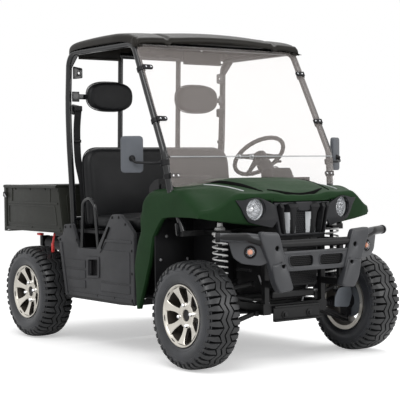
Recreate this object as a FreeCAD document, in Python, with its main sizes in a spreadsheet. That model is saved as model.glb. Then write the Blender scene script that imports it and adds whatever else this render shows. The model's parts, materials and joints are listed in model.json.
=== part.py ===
import FreeCAD, Part
import math
import os

import Sketcher
from FreeCAD import Placement, Rotation, Vector

# Side by side utility vehicle: open two-seat cab under a tube cage and a roof, tilting cargo bed behind.
# Frame: +X is the vehicle's left (driver) side, the front faces -Y, +Z is up, the tyres stand on Z = 0.
# All sizes are millimetres and degrees.

SIZES = {
    # half width over the body skins; the sizes given as formulas follow it
    "body_half_width": 600,
    # stance
    "wheelbase": 1720,
    "front_axle_y": -890,
    "half_track": 573,
    # tyres
    "tyre_radius": 289,
    "tyre_width": 208,
    "tread_width": 176,
    "lug_height": 13,
    "lug_count": 30,
    "lug_length": 62,
    "lug_breadth": 36,
    # rims
    "bead_radius": 152,
    "barrel_wall": 10,
    "lip_radius": 166,
    "rim_width": 190,
    "lip_width": 12,
    "bead_taper": 6,
    "spoke_count": 7,
    "spoke_depth": 44,
    "spoke_root": 46,
    "spoke_waist": 32,
    "spoke_tip": 64,
    "spoke_recess": 12,
    "hub_recess": 34,
    "hub_radius": 68,
    "hub_length": 48,
    "hub_bore": 31,
    # running clearances
    "shaft_gap": 0.3,
    "seat_gap": 0.3,
    # chassis rails
    "rail_x": 200,
    "rail_width": 50,
    "rail_height": 60,
    "rail_bottom": 270,
    "rail_front_y": -1035,
    "rail_rear_y": 495,
    "cross_width": 40,
    "outrigger_height": 30,
    "outrigger_reach": "=body_half_width - 30",
    # rear upper frame under the bed
    "bed_rail_x": 240,
    "bed_rail_width": 40,
    "bed_rail_top": 640,
    "bed_rail_height": 40,
    "bed_post_front_y": 455,
    "bed_post_rear_y": 1085,
    "hitch_bar_z": 420,
    "hitch_bar_height": 44,
    "hitch_plate": 10,
    "hitch_hole_radius": 13,
    # front bulkhead frame
    "bulkhead_y": -775,
    "bulkhead_top": 730,
    "bulkhead_bar": 30,
    "bulkhead_reach": "=body_half_width - 25",
    "shock_tower_x": 400,
    "shock_tower_width": 70,
    # cage tubes
    "cage_radius": 19,
    "cage_bend": 90,
    "pillar_foot_x": "=body_half_width - 40",
    "pillar_cowl_x": "=body_half_width - 23",
    "pillar_cowl_y": -676,
    "pillar_cowl_z": 944,
    "pillar_bend_x": "=body_half_width - 4",
    "pillar_bend_y": -645,
    "pillar_bend_z": 1158,
    "pillar_top_x": "=body_half_width - 22",
    "pillar_top_y": -330,
    "cage_top_z": 1771,
    "cage_rear_x": "=body_half_width - 40",
    "cage_rear_y": 377,
    "cage_rear_foot_x": "=body_half_width - 55",
    "cage_rear_foot_y": 425,
    "inner_bar_x": 220,
    "inner_bar_foot_z": 760,
    # roof
    "roof_half_width": "=body_half_width + 6",
    "roof_front_y": -402,
    "roof_rear_y": 425,
    "roof_skin": 9,
    "roof_rise": 65,
    "roof_camber": 25,
    "roof_skirt": 44,
    "roof_groove_x": 404,
    "roof_front_drop": 42,
    "roof_rear_drop": 22,
    # windshield
    "pane_thickness": 5,
    "pane_half_width": "=body_half_width - 12",
    "pane_top_z": 1766,
    "pane_fold_z": 1128,
    "pane_foot_z": 1006,
    "pane_standoff": 4,
    # body skins
    "skin": 8,
    "hood_half_width": 300,
    "hood_front_y": -1100,
    "hood_rear_y": -700,
    "hood_crest_z": 1003,
    "fender_top_z": 952,
    "fender_corner_y": -1021,
    "nose_bottom": 786,
    # front face
    "grille_half_width": 190,
    "grille_bottom": 698,
    "grille_top": 876,
    "grille_depth": 30,
    "slat_count": 7,
    "slat_width": 20,
    "lamp_x": 307,
    "lamp_y": -1062,
    "lamp_z": 843,
    "lamp_radius": 60,
    "lamp_depth": 90,
    # bumper
    "bumper_front_y": -1266,
    "bumper_tube_radius": 22,
    "bumper_tube_y": -1190,
    "bumper_tube_z": 660,
    "bumper_end_x": "=body_half_width - 15",
    "bumper_end_y": -1105,
    "bumper_end_z": 706,
    "mesh_thickness": 12,
    # cab tub
    "tub_wall": 6,
    "floor_z": 345,
    "footwell_half_width": 330,
    "firewall_y": -755,
    "arch_rear_y": -545,
    "dash_half_width": "=body_half_width - 50",
    "seat_base_front_y": -330,
    "seat_base_rear_y": 345,
    "seat_base_top": 700,
    "seat_base_wall": 18,
    "dash_front_y": -548,
    "dash_rear_y": -428,
    "dash_bottom": 800,
    "dash_top": 1004,
    # seats
    "seat_half_width": "=body_half_width - 48",
    "cushion_front_y": -300,
    "cushion_height": 100,
    "backrest_top_z": 1195,
    "backrest_thickness": 85,
    "headrest_x": 330,
    "headrest_bracket": 6,
    "headrest_z": 1511,
    "headrest_width": 342,
    "headrest_height": 197,
    "headrest_thickness": 60,
    # side panels
    "panel_thickness": 30,
    "panel_bottom": 283,
    "panel_notch_z": 592,
    "panel_hump_z": 806,
    # steering
    "kingpin_x": 500,
    "steer_arm": 75,
    "wheel_rim_radius": 163,
    "wheel_rim_tube": 12,
    "column_x": 330,
    "column_wheel_y": -312,
    "column_wheel_z": 1133,
    "column_tilt": 42.4,
    "column_radius": 22,
    "column_length": 424,
    "link_radius": 11,
    "rack_wall": 8,
    "rack_radius": 12,
    "rack_travel": 40,
    # suspension
    "arm_pivot_x": 240,
    "arm_tube_radius": 13,
    "arm_boss_radius": 19,
    "ball_joint_half_height": 82,
    "shock_radius": 43,
    "front_shock_bottom": 402,
    "rear_axle_radius": 32,
    # engine
    "engine_length": 400,
    "engine_half_width": 200,
    "engine_top": 640,
    # bed
    "bed_half_width": "=body_half_width - 10",
    "bed_front_y": 477,
    "bed_front_top_y": 541,
    "bed_rear_y": 1266,
    "bed_floor_z": 670,
    "bed_top_z": 970,
    "bed_wall": 12,
    "bed_floor_thickness": 18,
    "bed_rail_lip": 34,
    "bed_pivot_y": 1165,
    "bed_pivot_z": 655,
    "pivot_pin_radius": 8,
    "hinge_ear": 6,
    # tailgate
    "gate_y": 1242,
    "gate_thickness": 20,
    "gate_pivot_z": 686,
    "gate_gap": 6,
    "gate_pin_radius": 5,
    # mirrors
    "mirror_x": "=body_half_width + 137",
    "mirror_y": -545,
    "mirror_z": 1143,
    "mirror_width": 122,
    "mirror_height": 201,
    "mirror_depth": 22,
    "mirror_toe": 30,
}


class Size(float):
    """A number that also carries the spreadsheet formula that it was worked out from."""

    def __new__(cls, value, formula):
        made = super().__new__(cls, value)
        made.formula = formula
        return made

    def __add__(self, other):
        return Size(float(self) + float(other), f"({formula_of(self)} + {formula_of(other)})")

    def __radd__(self, other):
        return Size(float(other) + float(self), f"({formula_of(other)} + {formula_of(self)})")

    def __sub__(self, other):
        return Size(float(self) - float(other), f"({formula_of(self)} - {formula_of(other)})")

    def __rsub__(self, other):
        return Size(float(other) - float(self), f"({formula_of(other)} - {formula_of(self)})")

    def __mul__(self, other):
        return Size(float(self) * float(other), f"({formula_of(self)} * {formula_of(other)})")

    def __rmul__(self, other):
        return Size(float(other) * float(self), f"({formula_of(other)} * {formula_of(self)})")

    def __truediv__(self, other):
        return Size(float(self) / float(other), f"({formula_of(self)} / {formula_of(other)})")

    def __neg__(self):
        return Size(-float(self), f"(0 - {formula_of(self)})")


def formula_of(number):
    """The spreadsheet formula of a size, or a plain number as text."""
    if isinstance(number, Size):
        return number.formula
    return repr(round(float(number), 6))


class SizeSheet:
    """The driving dimensions, one named cell each, read back as attributes."""

    def __init__(self, document, values):
        self.cells = document.addObject("Spreadsheet::Sheet", "Sizes")
        for row, (alias, value) in enumerate(values.items(), start=1):
            self.cells.set(f"A{row}", alias)
            self.cells.set(f"B{row}", str(value))
            self.cells.setAlias(f"B{row}", alias)
        document.recompute()

    def __getattr__(self, alias):
        return Size(float(self.cells.get(alias)), f"Sizes.{alias}")


DOC = FreeCAD.newDocument("side_by_side_utv")
S = SizeSheet(DOC, SIZES)
NODES = []

FACING = {"XY": Vector(0, 0, 1), "XZ": Vector(0, -1, 0), "YZ": Vector(1, 0, 0)}


# Helpers that make document objects with their sizes bound to the sheet

def bind(item, prop, number):
    item.setExpression(prop, formula_of(number))


def place(item, corner=(0, 0, 0), axis=(0, 0, 1), angle=0.0):
    item.Placement = Placement(Vector(*[float(c) for c in corner]), Rotation(Vector(*axis), float(angle)))
    for letter, number in zip("xyz", corner):
        if isinstance(number, Size):
            bind(item, f"Placement.Base.{letter}", number)
    if isinstance(angle, Size):
        bind(item, "Placement.Rotation.Angle", angle)
    return item


def box(name, low, high):
    """A block between two opposite corners."""
    item = DOC.addObject("Part::Box", name)
    for prop, start, end in zip(("Length", "Width", "Height"), low, high):
        bind(item, prop, end - start)
    return place(item, low)


def rod(name, start, end, radius):
    """A round bar from one point to another."""
    reach = Vector(*[float(b) - float(a) for a, b in zip(start, end)])
    item = DOC.addObject("Part::Cylinder", name)
    bind(item, "Radius", radius)
    spans = [(b - a) for a, b in zip(start, end) if abs(float(b) - float(a)) > 1e-9]
    if len(spans) == 1 and isinstance(spans[0], Size):
        span = spans[0] if float(spans[0]) > 0 else -spans[0]
        bind(item, "Height", span)
    else:
        item.Height = reach.Length
    turn = Rotation(Vector(0, 0, 1), reach)
    item.Placement = Placement(Vector(*[float(c) for c in start]), turn)
    for letter, number in zip("xyz", start):
        if isinstance(number, Size):
            bind(item, f"Placement.Base.{letter}", number)
    return item


def rounded_route(points, bend):
    """Straight runs joined by tangent arcs of one bend radius, or less where a run is short."""
    corners = [Vector(*[float(c) for c in point]) for point in points]
    edges = []
    last = corners[0]
    for before, corner, after in zip(corners, corners[1:], corners[2:]):
        to_back = (before - corner).normalize()
        to_next = (after - corner).normalize()
        half_angle = to_back.getAngle(to_next) / 2
        half_turn = math.pi / 2 - half_angle
        room = 0.45 * min((before - corner).Length, (after - corner).Length)
        setback = min(float(bend) * math.tan(half_turn), room)
        radius = setback / math.tan(half_turn)
        start = corner + to_back * setback
        end = corner + to_next * setback
        inward = (to_back + to_next).normalize()
        middle = corner + inward * (radius / math.sin(half_angle) - radius)
        edges.append(Part.LineSegment(last, start).toShape())
        edges.append(Part.Arc(start, middle, end).toShape())
        last = end
    edges.append(Part.LineSegment(last, corners[-1]).toShape())
    return Part.Wire(edges)


def bent_tube(name, points, radius, bend):
    """A round tube swept along a route of straight runs and arcs."""
    route = DOC.addObject("Part::Feature", f"{name}_route")
    route.Shape = rounded_route(points, bend)
    ring = DOC.addObject("Part::Circle", f"{name}_section")
    bind(ring, "Radius", radius)
    first = route.Shape.Edges[0]
    ring.Placement = Placement(first.valueAt(first.FirstParameter),
                               Rotation(Vector(0, 0, 1), first.tangentAt(first.FirstParameter)))
    tube = DOC.addObject("Part::Sweep", name)
    tube.Sections = [ring]
    tube.Spine = (route, [f"Edge{i + 1}" for i in range(len(route.Shape.Edges))])
    tube.Solid = True
    tube.Frenet = False
    return tube


def origin_plane(body, plane):
    return [item for item in body.Origin.OriginFeatures if item.Role == f"{plane}_Plane"][0]


def turn_of(before, corner, after):
    """The half angle at a corner, and whether the outline turns left there."""
    to_back = (before - corner).normalize()
    to_next = (after - corner).normalize()
    left = (corner - before).cross(after - corner).z > 0
    return to_back, to_next, to_back.getAngle(to_next) / 2, left


def draw_outline(sketch, outline):
    """Add one closed outline; a point is (x, y), or (x, y, radius) for a rounded corner."""
    corners = [Vector(float(point[0]), float(point[1]), 0) for point in outline]
    count = len(outline)
    starts, ends, arcs = [], [], []
    for i, point in enumerate(outline):
        corner = corners[i]
        if len(point) < 3:
            starts.append(corner)
            ends.append(corner)
            arcs.append(None)
            continue
        to_back, to_next, half_angle, left = turn_of(corners[i - 1], corner, corners[(i + 1) % count])
        radius = float(point[2])
        setback = radius / math.tan(half_angle)
        start = corner + to_back * setback
        end = corner + to_next * setback
        centre = corner + (to_back + to_next).normalize() * (radius / math.sin(half_angle))
        starts.append(start)
        ends.append(end)
        arcs.append((centre, radius, start, end, left))
    first_line = sketch.GeometryCount
    for i in range(count):
        sketch.addGeometry(Part.LineSegment(ends[i], starts[(i + 1) % count]))
    rules = []
    bound = []
    for i, point in enumerate(outline):
        line_in = first_line + (i - 1) % count
        line_out = first_line + i
        if arcs[i] is None:
            rules.append(Sketcher.Constraint("Coincident", line_in, 2, line_out, 1))
            holder, spot = line_out, 1
        else:
            centre, radius, start, end, left = arcs[i]
            low, high = (start, end) if left else (end, start)
            angles = [math.atan2(p.y - centre.y, p.x - centre.x) for p in (low, high)]
            arc = sketch.addGeometry(Part.ArcOfCircle(Part.Circle(centre, Vector(0, 0, 1), radius), *angles))
            holder = sketch.addGeometry(Part.Point(corners[i]), True)
            spot = 1
            rules.append(Sketcher.Constraint("Tangent", line_in, 2, arc, 1 if left else 2))
            rules.append(Sketcher.Constraint("Tangent", arc, 2 if left else 1, line_out, 1))
            rules.append(Sketcher.Constraint("PointOnObject", holder, 1, line_in))
            rules.append(Sketcher.Constraint("PointOnObject", holder, 1, line_out))
            rules.append(Sketcher.Constraint("Radius", arc, radius))
            bound.append((len(rules) - 1, point[2]))
        rules.append(Sketcher.Constraint("DistanceX", holder, spot, corners[i].x))
        bound.append((len(rules) - 1, point[0]))
        rules.append(Sketcher.Constraint("DistanceY", holder, spot, corners[i].y))
        bound.append((len(rules) - 1, point[1]))
    offset = sketch.ConstraintCount
    sketch.addConstraint(rules)
    for index, number in bound:
        if isinstance(number, Size):
            bind(sketch, f"Constraints[{offset + index}]", number)


def draw_circle(sketch, x, y, radius):
    """Add one circle, with its centre and radius bound."""
    circle = sketch.addGeometry(Part.Circle(Vector(float(x), float(y), 0), Vector(0, 0, 1), float(radius)))
    offset = sketch.ConstraintCount
    sketch.addConstraint([Sketcher.Constraint("DistanceX", circle, 3, float(x)),
                          Sketcher.Constraint("DistanceY", circle, 3, float(y)),
                          Sketcher.Constraint("Radius", circle, float(radius))])
    for index, number in enumerate((x, y, radius)):
        if isinstance(number, Size):
            bind(sketch, f"Constraints[{offset + index}]", number)


def new_sketch(body, name, plane, outlines, level=0.0, turned=0.0):
    """A sketch of closed outlines on a plane of the body, at a level along its axis, or turned about X."""
    sketch = body.newObject("Sketcher::SketchObject", name)
    sketch.AttachmentSupport = (origin_plane(body, plane), [""])
    sketch.MapMode = "FlatFace"
    depth = -level if plane == "XZ" else level
    angle = math.radians(turned)
    offset = (depth * -math.sin(angle), depth * math.cos(angle))
    sketch.AttachmentOffset = Placement(Vector(0, float(offset[0]), float(offset[1])),
                                        Rotation(Vector(1, 0, 0), turned))
    for letter, number in zip("yz", offset):
        if isinstance(number, Size):
            bind(sketch, f"AttachmentOffset.Base.{letter}", number)
    for outline in outlines:
        if outline[0] == "circle":
            draw_circle(sketch, *outline[1:])
        else:
            draw_outline(sketch, outline)
    return sketch


def new_body(name):
    return DOC.addObject("PartDesign::Body", name)


def pad(body, name, plane, outlines, low, high, turned=0.0):
    """Grow closed outlines between two levels along the axis that the plane faces."""
    start = high if plane == "XZ" else low
    sketch = new_sketch(body, f"{name}_sketch", plane, outlines, start, turned)
    feature = body.newObject("PartDesign::Pad", name)
    feature.Profile = sketch
    bind(feature, "Length", high - low)
    return feature


def plate(name, plane, outlines, low, high):
    """A body of one flat moulding or sheet, cut to outlines."""
    body = new_body(name)
    pad(body, f"{name}_pad", plane, outlines, low, high)
    return body


def revolve(body, name, plane, outline, axis="H_Axis", kind="PartDesign::Revolution"):
    """Turn a closed outline round the sketch's horizontal or vertical axis."""
    sketch = new_sketch(body, f"{name}_sketch", plane, [outline])
    feature = body.newObject(kind, name)
    feature.Profile = sketch
    feature.ReferenceAxis = (sketch, [axis])
    feature.Angle = 360
    return feature


def repeat_round(body, name, features, axis, count):
    """Repeat features evenly round one of the body's own axes."""
    pattern = body.newObject("PartDesign::PolarPattern", name)
    pattern.Originals = features
    pattern.Axis = ([item for item in body.Origin.OriginFeatures if item.Role == f"{axis}_Axis"][0], [""])
    pattern.Angle = 360
    bind(pattern, "Occurrences", count)
    body.Tip = pattern
    return pattern


def loft(name, plane, stations):
    """A body lofted through one outline per station along the plane's axis."""
    body = new_body(name)
    sketches = [new_sketch(body, f"{name}_station_{i}", plane, [outline], level)
                for i, (level, outline) in enumerate(stations)]
    feature = body.newObject("PartDesign::AdditiveLoft", f"{name}_loft")
    feature.Profile = sketches[0]
    feature.Sections = sketches[1:]
    feature.Ruled = False
    return body


def fuse(name, items):
    """One solid made of pieces that are joined for good."""
    item = DOC.addObject("Part::MultiFuse", name)
    item.Shapes = items
    item.Refine = True
    return item


def cut(name, base, tool):
    item = DOC.addObject("Part::Cut", name)
    item.Base = base
    item.Tool = tool
    item.Refine = True
    return item


def group(name, items):
    """Like pieces of one body that stand apart from each other."""
    item = DOC.addObject("Part::Compound", name)
    item.Links = items
    return item


def mirror(name, source):
    """The same piece on the vehicle's other side."""
    item = DOC.addObject("Part::Mirroring", name)
    item.Source = source
    item.Normal = (1, 0, 0)
    item.Base = (0, 0, 0)
    return item


def both_sides(name, source):
    return group(name, [source, mirror(f"{name}_other", source)])


def node(item, label):
    """Name a finished sub-part; its label is the name of its file."""
    item.Label = label
    NODES.append(item)
    return item


# Places that several sub-parts share

AXLE_Z = S.tyre_radius
REAR_AXLE_Y = S.front_axle_y + S.wheelbase
BARREL_INNER = S.bead_radius - S.barrel_wall
RAIL_TOP = S.rail_bottom + S.rail_height
OUTRIGGER_TOP = RAIL_TOP - 10
WHEEL_CORNERS = (
    ("front_left", 1, S.front_axle_y),
    ("front_right", -1, S.front_axle_y),
    ("rear_left", 1, REAR_AXLE_Y),
    ("rear_right", -1, REAR_AXLE_Y),
)
PILLAR = [
    (S.pillar_foot_x, S.bulkhead_y, S.bulkhead_top - 8),
    (S.pillar_cowl_x, S.pillar_cowl_y, S.pillar_cowl_z),
    (S.pillar_bend_x, S.pillar_bend_y, S.pillar_bend_z),
    (S.pillar_top_x, S.pillar_top_y, S.cage_top_z),
    (S.cage_rear_x, S.cage_rear_y, S.cage_top_z),
    (S.cage_rear_foot_x, S.cage_rear_foot_y, OUTRIGGER_TOP - 4),
]

CAGE_LEAN = (S.cage_rear_foot_y - S.cage_rear_y) / (S.cage_top_z - OUTRIGGER_TOP)
HEADREST_BACK_Y = (S.cage_rear_y + CAGE_LEAN * (S.cage_top_z - S.headrest_z) - S.cage_radius
                   - S.headrest_bracket - S.seat_gap)
RACK_Z = RAIL_TOP + S.rack_radius + S.rack_wall + S.seat_gap
RACK_Y = S.front_axle_y + S.steer_arm
GATE_PIVOT_Y = S.gate_y + S.gate_thickness / 2


# Wheels

def make_tyre(label, side, axle_y):
    """Tyre: a carcass with one flat a lug, a turned bore, and shoulder lugs in two staggered rows."""
    half = S.tyre_width / 2
    tread = S.tread_width / 2
    carcass = S.tyre_radius - S.lug_height
    bead = S.rim_width / 2 - S.lip_width
    rings = []
    stations = ((-half + 1, carcass - 44), (-tread + 16, carcass),
                (tread - 16, carcass), (half - 1, carcass - 44))
    for i, (level, radius) in enumerate(stations):
        ring = DOC.addObject("Part::RegularPolygon", f"{label}_ring_{i}")
        bind(ring, "Circumradius", radius)
        bind(ring, "Polygon", S.lug_count)
        rings.append(place(ring, (level, 0, 0), (0, 1, 0), 90))
    solid = DOC.addObject("Part::Loft", f"{label}_carcass")
    solid.Sections = rings
    solid.Solid = True
    solid.Ruled = True
    DOC.recompute()
    body = new_body(f"{label}_tyre_body")
    body.BaseFeature = solid
    lugs = []
    half_pitch = 180 / float(S.lug_count)
    for row, turned in ((1, 0.0), (-1, half_pitch)):
        shoulder = [
            (row * (tread - S.lug_length), carcass - 12),
            (row * (half - 6), carcass - 54),
            (row * (half - 1), carcass - 34),
            (row * (tread + 2), S.tyre_radius - 6),
            (row * (tread - S.lug_length), S.tyre_radius - 0.6),
        ]
        if row < 0:
            shoulder = shoulder[::-1]
        low = -(S.lug_breadth / 2)
        word = "outer" if row > 0 else "inner"
        lug = pad(body, f"{label}_{word}_lug", "XY", [shoulder], low, low + S.lug_breadth, turned)
        lugs.append(lug)
    repeat_round(body, f"{label}_lugs", lugs, "X", S.lug_count)
    bore = [
        (-half - 2, 0),
        (half + 2, 0),
        (half + 2, carcass - 56),
        (bead, S.lip_radius),
        (bead - S.bead_taper, S.bead_radius),
        (-bead + S.bead_taper, S.bead_radius),
        (-bead, S.lip_radius),
        (-half - 2, carcass - 56),
    ]
    revolve(body, f"{label}_bore", "XY", bore, kind="PartDesign::Groove")
    place(body, (side * S.half_track, axle_y, AXLE_Z), (0, 0, 1), 0 if side > 0 else 180)
    return node(body, f"{label}_tyre")


def make_rim(label, side, axle_y):
    """Cast rim: turned barrel with lips, a recessed hub with an open bore, and waisted spokes set round it."""
    half = S.rim_width / 2
    body = new_body(f"{label}_rim_body")
    barrel = [
        (-half, BARREL_INNER),
        (half, BARREL_INNER),
        (half, S.lip_radius),
        (half - S.lip_width, S.lip_radius),
        (half - S.lip_width - S.bead_taper, S.bead_radius),
        (-half + S.lip_width + S.bead_taper, S.bead_radius),
        (-half + S.lip_width, S.lip_radius),
        (-half, S.lip_radius),
    ]
    revolve(body, f"{label}_barrel", "XY", barrel)
    face = half - S.hub_recess
    hub = [
        (face - S.hub_length, S.hub_bore),
        (face, S.hub_bore),
        (face, S.hub_radius),
        (face - S.hub_length, S.hub_radius),
    ]
    revolve(body, f"{label}_hub", "XY", hub)
    waist = (S.hub_radius + BARREL_INNER) / 2
    spoke_outline = [
        (-S.spoke_root / 2, S.hub_radius - 6),
        (S.spoke_root / 2, S.hub_radius - 6),
        (S.spoke_waist / 2, waist),
        (S.spoke_tip / 2, BARREL_INNER + 4),
        (-S.spoke_tip / 2, BARREL_INNER + 4),
        (-S.spoke_waist / 2, waist),
    ]
    rim_face = half - S.spoke_recess
    spoke = pad(body, f"{label}_spoke", "YZ", [spoke_outline], rim_face - S.spoke_depth, rim_face)
    repeat_round(body, f"{label}_spokes", [spoke], "X", S.spoke_count)
    dish = [
        (face, 0),
        (half + 2, 0),
        (half + 2, BARREL_INNER - 2),
        (rim_face, BARREL_INNER - 2),
        (face, S.hub_radius),
    ]
    revolve(body, f"{label}_dish", "XY", dish, kind="PartDesign::Groove")
    place(body, (side * S.half_track, axle_y, AXLE_Z), (0, 0, 1), 0 if side > 0 else 180)
    return node(body, f"{label}_rim")


# Chassis

def make_main_frame():
    """Two long rails with crossmembers, side outriggers and the upper frame that carries the bed."""
    bars = []
    for side, word in ((1, "left"), (-1, "right")):
        x_low = side * S.rail_x - S.rail_width / 2
        bars.append(box(f"rail_{word}", (x_low, S.rail_front_y, S.rail_bottom),
                        (x_low + S.rail_width, S.rail_rear_y, RAIL_TOP)))
        bed_x = side * S.bed_rail_x - S.bed_rail_width / 2
        bars.append(box(f"bed_rail_{word}",
                        (bed_x, S.bed_post_front_y, S.bed_rail_top - S.bed_rail_height),
                        (bed_x + S.bed_rail_width, S.bed_pivot_y - 40, S.bed_rail_top)))
        for spot, y, post_low in (("front", S.bed_post_front_y, S.rail_bottom + 10),
                                  ("rear", S.bed_post_rear_y, S.hitch_bar_z)):
            bars.append(box(f"bed_post_{spot}_{word}", (bed_x, y, post_low),
                            (bed_x + S.bed_rail_width, y + S.cross_width, S.bed_rail_top - 1)))
    crossings = (("front", S.rail_front_y), ("pivot", S.front_axle_y - 20), ("seat", S.seat_base_front_y),
                 ("middle", S.seat_base_front_y + 380), ("rear", S.bed_post_front_y))
    for word, y in crossings:
        bars.append(box(f"crossmember_{word}", (-S.rail_x, y, S.rail_bottom + 5),
                        (S.rail_x, y + S.cross_width, RAIL_TOP - 5)))
    for word, y in (("front", S.seat_base_front_y), ("middle", S.seat_base_front_y + 380),
                    ("rear", S.cage_rear_foot_y - S.cross_width / 2)):
        bars.append(box(f"outrigger_{word}", (-S.outrigger_reach, y, OUTRIGGER_TOP - S.outrigger_height),
                        (S.outrigger_reach, y + S.cross_width, OUTRIGGER_TOP)))
    bars.append(box("bed_crossbar", (-S.bed_rail_x, S.bed_post_front_y, S.bed_rail_top - S.bed_rail_height + 4),
                    (S.bed_rail_x, S.bed_post_front_y + S.cross_width, S.bed_rail_top - 4)))
    hitch_y = S.bed_post_rear_y + S.cross_width
    bars.append(box("hitch_bar", (-S.bed_rail_x, S.bed_post_rear_y, S.hitch_bar_z),
                    (S.bed_rail_x, hitch_y, S.hitch_bar_z + S.hitch_bar_height)))
    tongue_outline = [(-40, hitch_y - 4), (40, hitch_y - 4), (40, hitch_y + 70, 30), (-40, hitch_y + 70, 30)]
    tongue_hole = ("circle", 0, hitch_y + 38, S.hitch_hole_radius)
    tongue = plate("hitch_tongue", "XY", [tongue_outline, tongue_hole], S.hitch_bar_z, S.hitch_bar_z + S.hitch_plate)
    bars.append(tongue)
    top = S.bed_pivot_z + 13
    ear = [
        (S.bed_pivot_y - 105, S.bed_rail_top - S.bed_rail_height),
        (S.bed_pivot_y + 13, S.bed_rail_top - S.bed_rail_height),
        (S.bed_pivot_y + 13, top, 13),
        (S.bed_pivot_y - 105, top),
    ]
    hole = ("circle", S.bed_pivot_y, S.bed_pivot_z, S.pivot_pin_radius + S.shaft_gap)
    for side, word in ((1, "left"), (-1, "right")):
        for spot, offset in (("out", S.bed_rail_width / 2), ("in", -S.bed_rail_width / 2 - S.hinge_ear)):
            low = side * S.bed_rail_x + (offset if side > 0 else -offset - S.hinge_ear)
            bars.append(plate(f"hinge_ear_{spot}_{word}", "YZ", [ear, hole], low, low + S.hinge_ear))
    return node(fuse("main_frame_solid", bars), "main_frame")


def make_front_frame():
    """Box frame ahead of the cab: bulkhead, shock towers, nose posts and the lower front plate."""
    bar = S.bulkhead_bar
    top = S.bulkhead_top
    bars = [box("bulkhead_bar", (-S.bulkhead_reach, S.bulkhead_y - bar / 2, top - bar),
                (S.bulkhead_reach, S.bulkhead_y + bar / 2, top))]
    nose_y = S.rail_front_y
    bars.append(box("nose_bar", (-S.rail_x - bar / 2, nose_y, top - bar - 25),
                    (S.rail_x + bar / 2, nose_y + bar, top - 25)))
    for side, word in ((1, "left"), (-1, "right")):
        x_low = side * S.rail_x - bar / 2
        bars.append(box(f"bulkhead_post_{word}", (x_low, S.bulkhead_y - bar / 2, RAIL_TOP + S.seat_gap),
                        (x_low + bar, S.bulkhead_y + bar / 2, top - bar / 2)))
        bars.append(box(f"nose_post_{word}", (x_low, nose_y, RAIL_TOP + S.seat_gap),
                        (x_low + bar, nose_y + bar, top - bar)))
        bars.append(box(f"top_bar_{word}", (x_low, nose_y, top - bar - 20),
                        (x_low + bar, S.bulkhead_y, top - 20)))
        tower = side * S.shock_tower_x - S.shock_tower_width / 2
        bars.append(box(f"shock_tower_{word}", (tower, S.front_axle_y - 45, top - 14),
                        (tower + S.shock_tower_width, S.bulkhead_y, top)))
    return node(fuse("front_frame_solid", bars), "front_frame")


def make_cage():
    """Tube cage: a hoop each side from the cowl over the roof to the rear frame, joined across."""
    frames = group("cage_seats", [DOC.getObject("main_frame_solid"), DOC.getObject("front_frame_solid")])
    left = cut("cage_left_tube", bent_tube("cage_left_sweep", PILLAR, S.cage_radius, S.cage_bend), frames)
    right = mirror("cage_right_tube", left)
    node(left, "cage_left")
    node(right, "cage_right")
    hoops = group("cage_hoops", [left, right])
    rear_low = (S.cage_rear_x + S.cage_rear_foot_x) / 2
    bars = [rod("rear_top_bar", (-S.cage_rear_x, S.cage_rear_y, S.cage_top_z),
                (S.cage_rear_x, S.cage_rear_y, S.cage_top_z), S.cage_radius)]
    low_y = S.cage_rear_y + CAGE_LEAN * (S.cage_top_z - S.inner_bar_foot_z)
    bars.append(rod("rear_low_bar", (-rear_low, low_y, S.inner_bar_foot_z),
                    (rear_low, low_y, S.inner_bar_foot_z), S.cage_radius - 3))
    for side, word in ((1, "left"), (-1, "right")):
        bars.append(rod(f"inner_bar_{word}", (side * S.inner_bar_x, low_y, S.inner_bar_foot_z),
                        (side * S.inner_bar_x, S.cage_rear_y, S.cage_top_z), S.cage_radius - 3))
        bracket_back = HEADREST_BACK_Y + S.headrest_bracket
        near = side * S.inner_bar_x - (12 if side > 0 else S.cage_rear_x - S.inner_bar_x + 12)
        bars.append(box(f"headrest_bracket_{word}", (near, HEADREST_BACK_Y, S.headrest_z - 18),
                        (near + S.cage_rear_x - S.inner_bar_x + 24, bracket_back, S.headrest_z + 14)))
        bars.append(box(f"headrest_tab_{word}", (side * S.inner_bar_x - 12, bracket_back, S.headrest_z - 18),
                        (side * S.inner_bar_x + 12, bracket_back + 16, S.headrest_z + 14)))
    rear = cut("cage_rear_solid", fuse("cage_rear_bars", bars), hoops)
    header_y = S.pillar_top_y + 34
    header = rod("header_bar", (-S.pillar_top_x, header_y, S.cage_top_z),
                 (S.pillar_top_x, header_y, S.cage_top_z), S.cage_radius - 3)
    front = cut("cage_header_solid", header, hoops)
    node(group("cage_crossbar_set", [rear, front]), "cage_crossbars")


def roof_section(drop):
    """Cross-section of the roof skin: crowned middle, a groove each side, raised shoulders, skirts."""
    wide = S.roof_half_width
    groove = S.roof_groove_x
    shoulder = S.cage_top_z + S.roof_rise - drop
    crown = shoulder + S.roof_camber
    bottom = shoulder - S.roof_skirt
    upper = [
        (wide, bottom),
        (wide, shoulder - 14),
        (wide - 26, shoulder),
        (groove + 26, shoulder + 8),
        (groove, shoulder - 2),
        (groove - 26, shoulder + 10),
        (groove / 2, shoulder + S.roof_camber * 0.8),
        (0, crown),
    ]
    under = [
        (wide - S.roof_skin, bottom),
        (wide - S.roof_skin, shoulder - 14 - S.roof_skin / 2),
        (wide - 28, shoulder - S.roof_skin),
        (groove, shoulder - 2 - S.roof_skin),
        (groove / 2, shoulder + S.roof_camber * 0.7 - S.roof_skin),
        (0, crown - S.roof_skin),
    ]
    across = upper + [(-x, z) for x, z in upper[-2::-1]]
    back = [(-x, z) for x, z in under] + under[-2::-1]
    return (across + back)[::-1]


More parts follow.
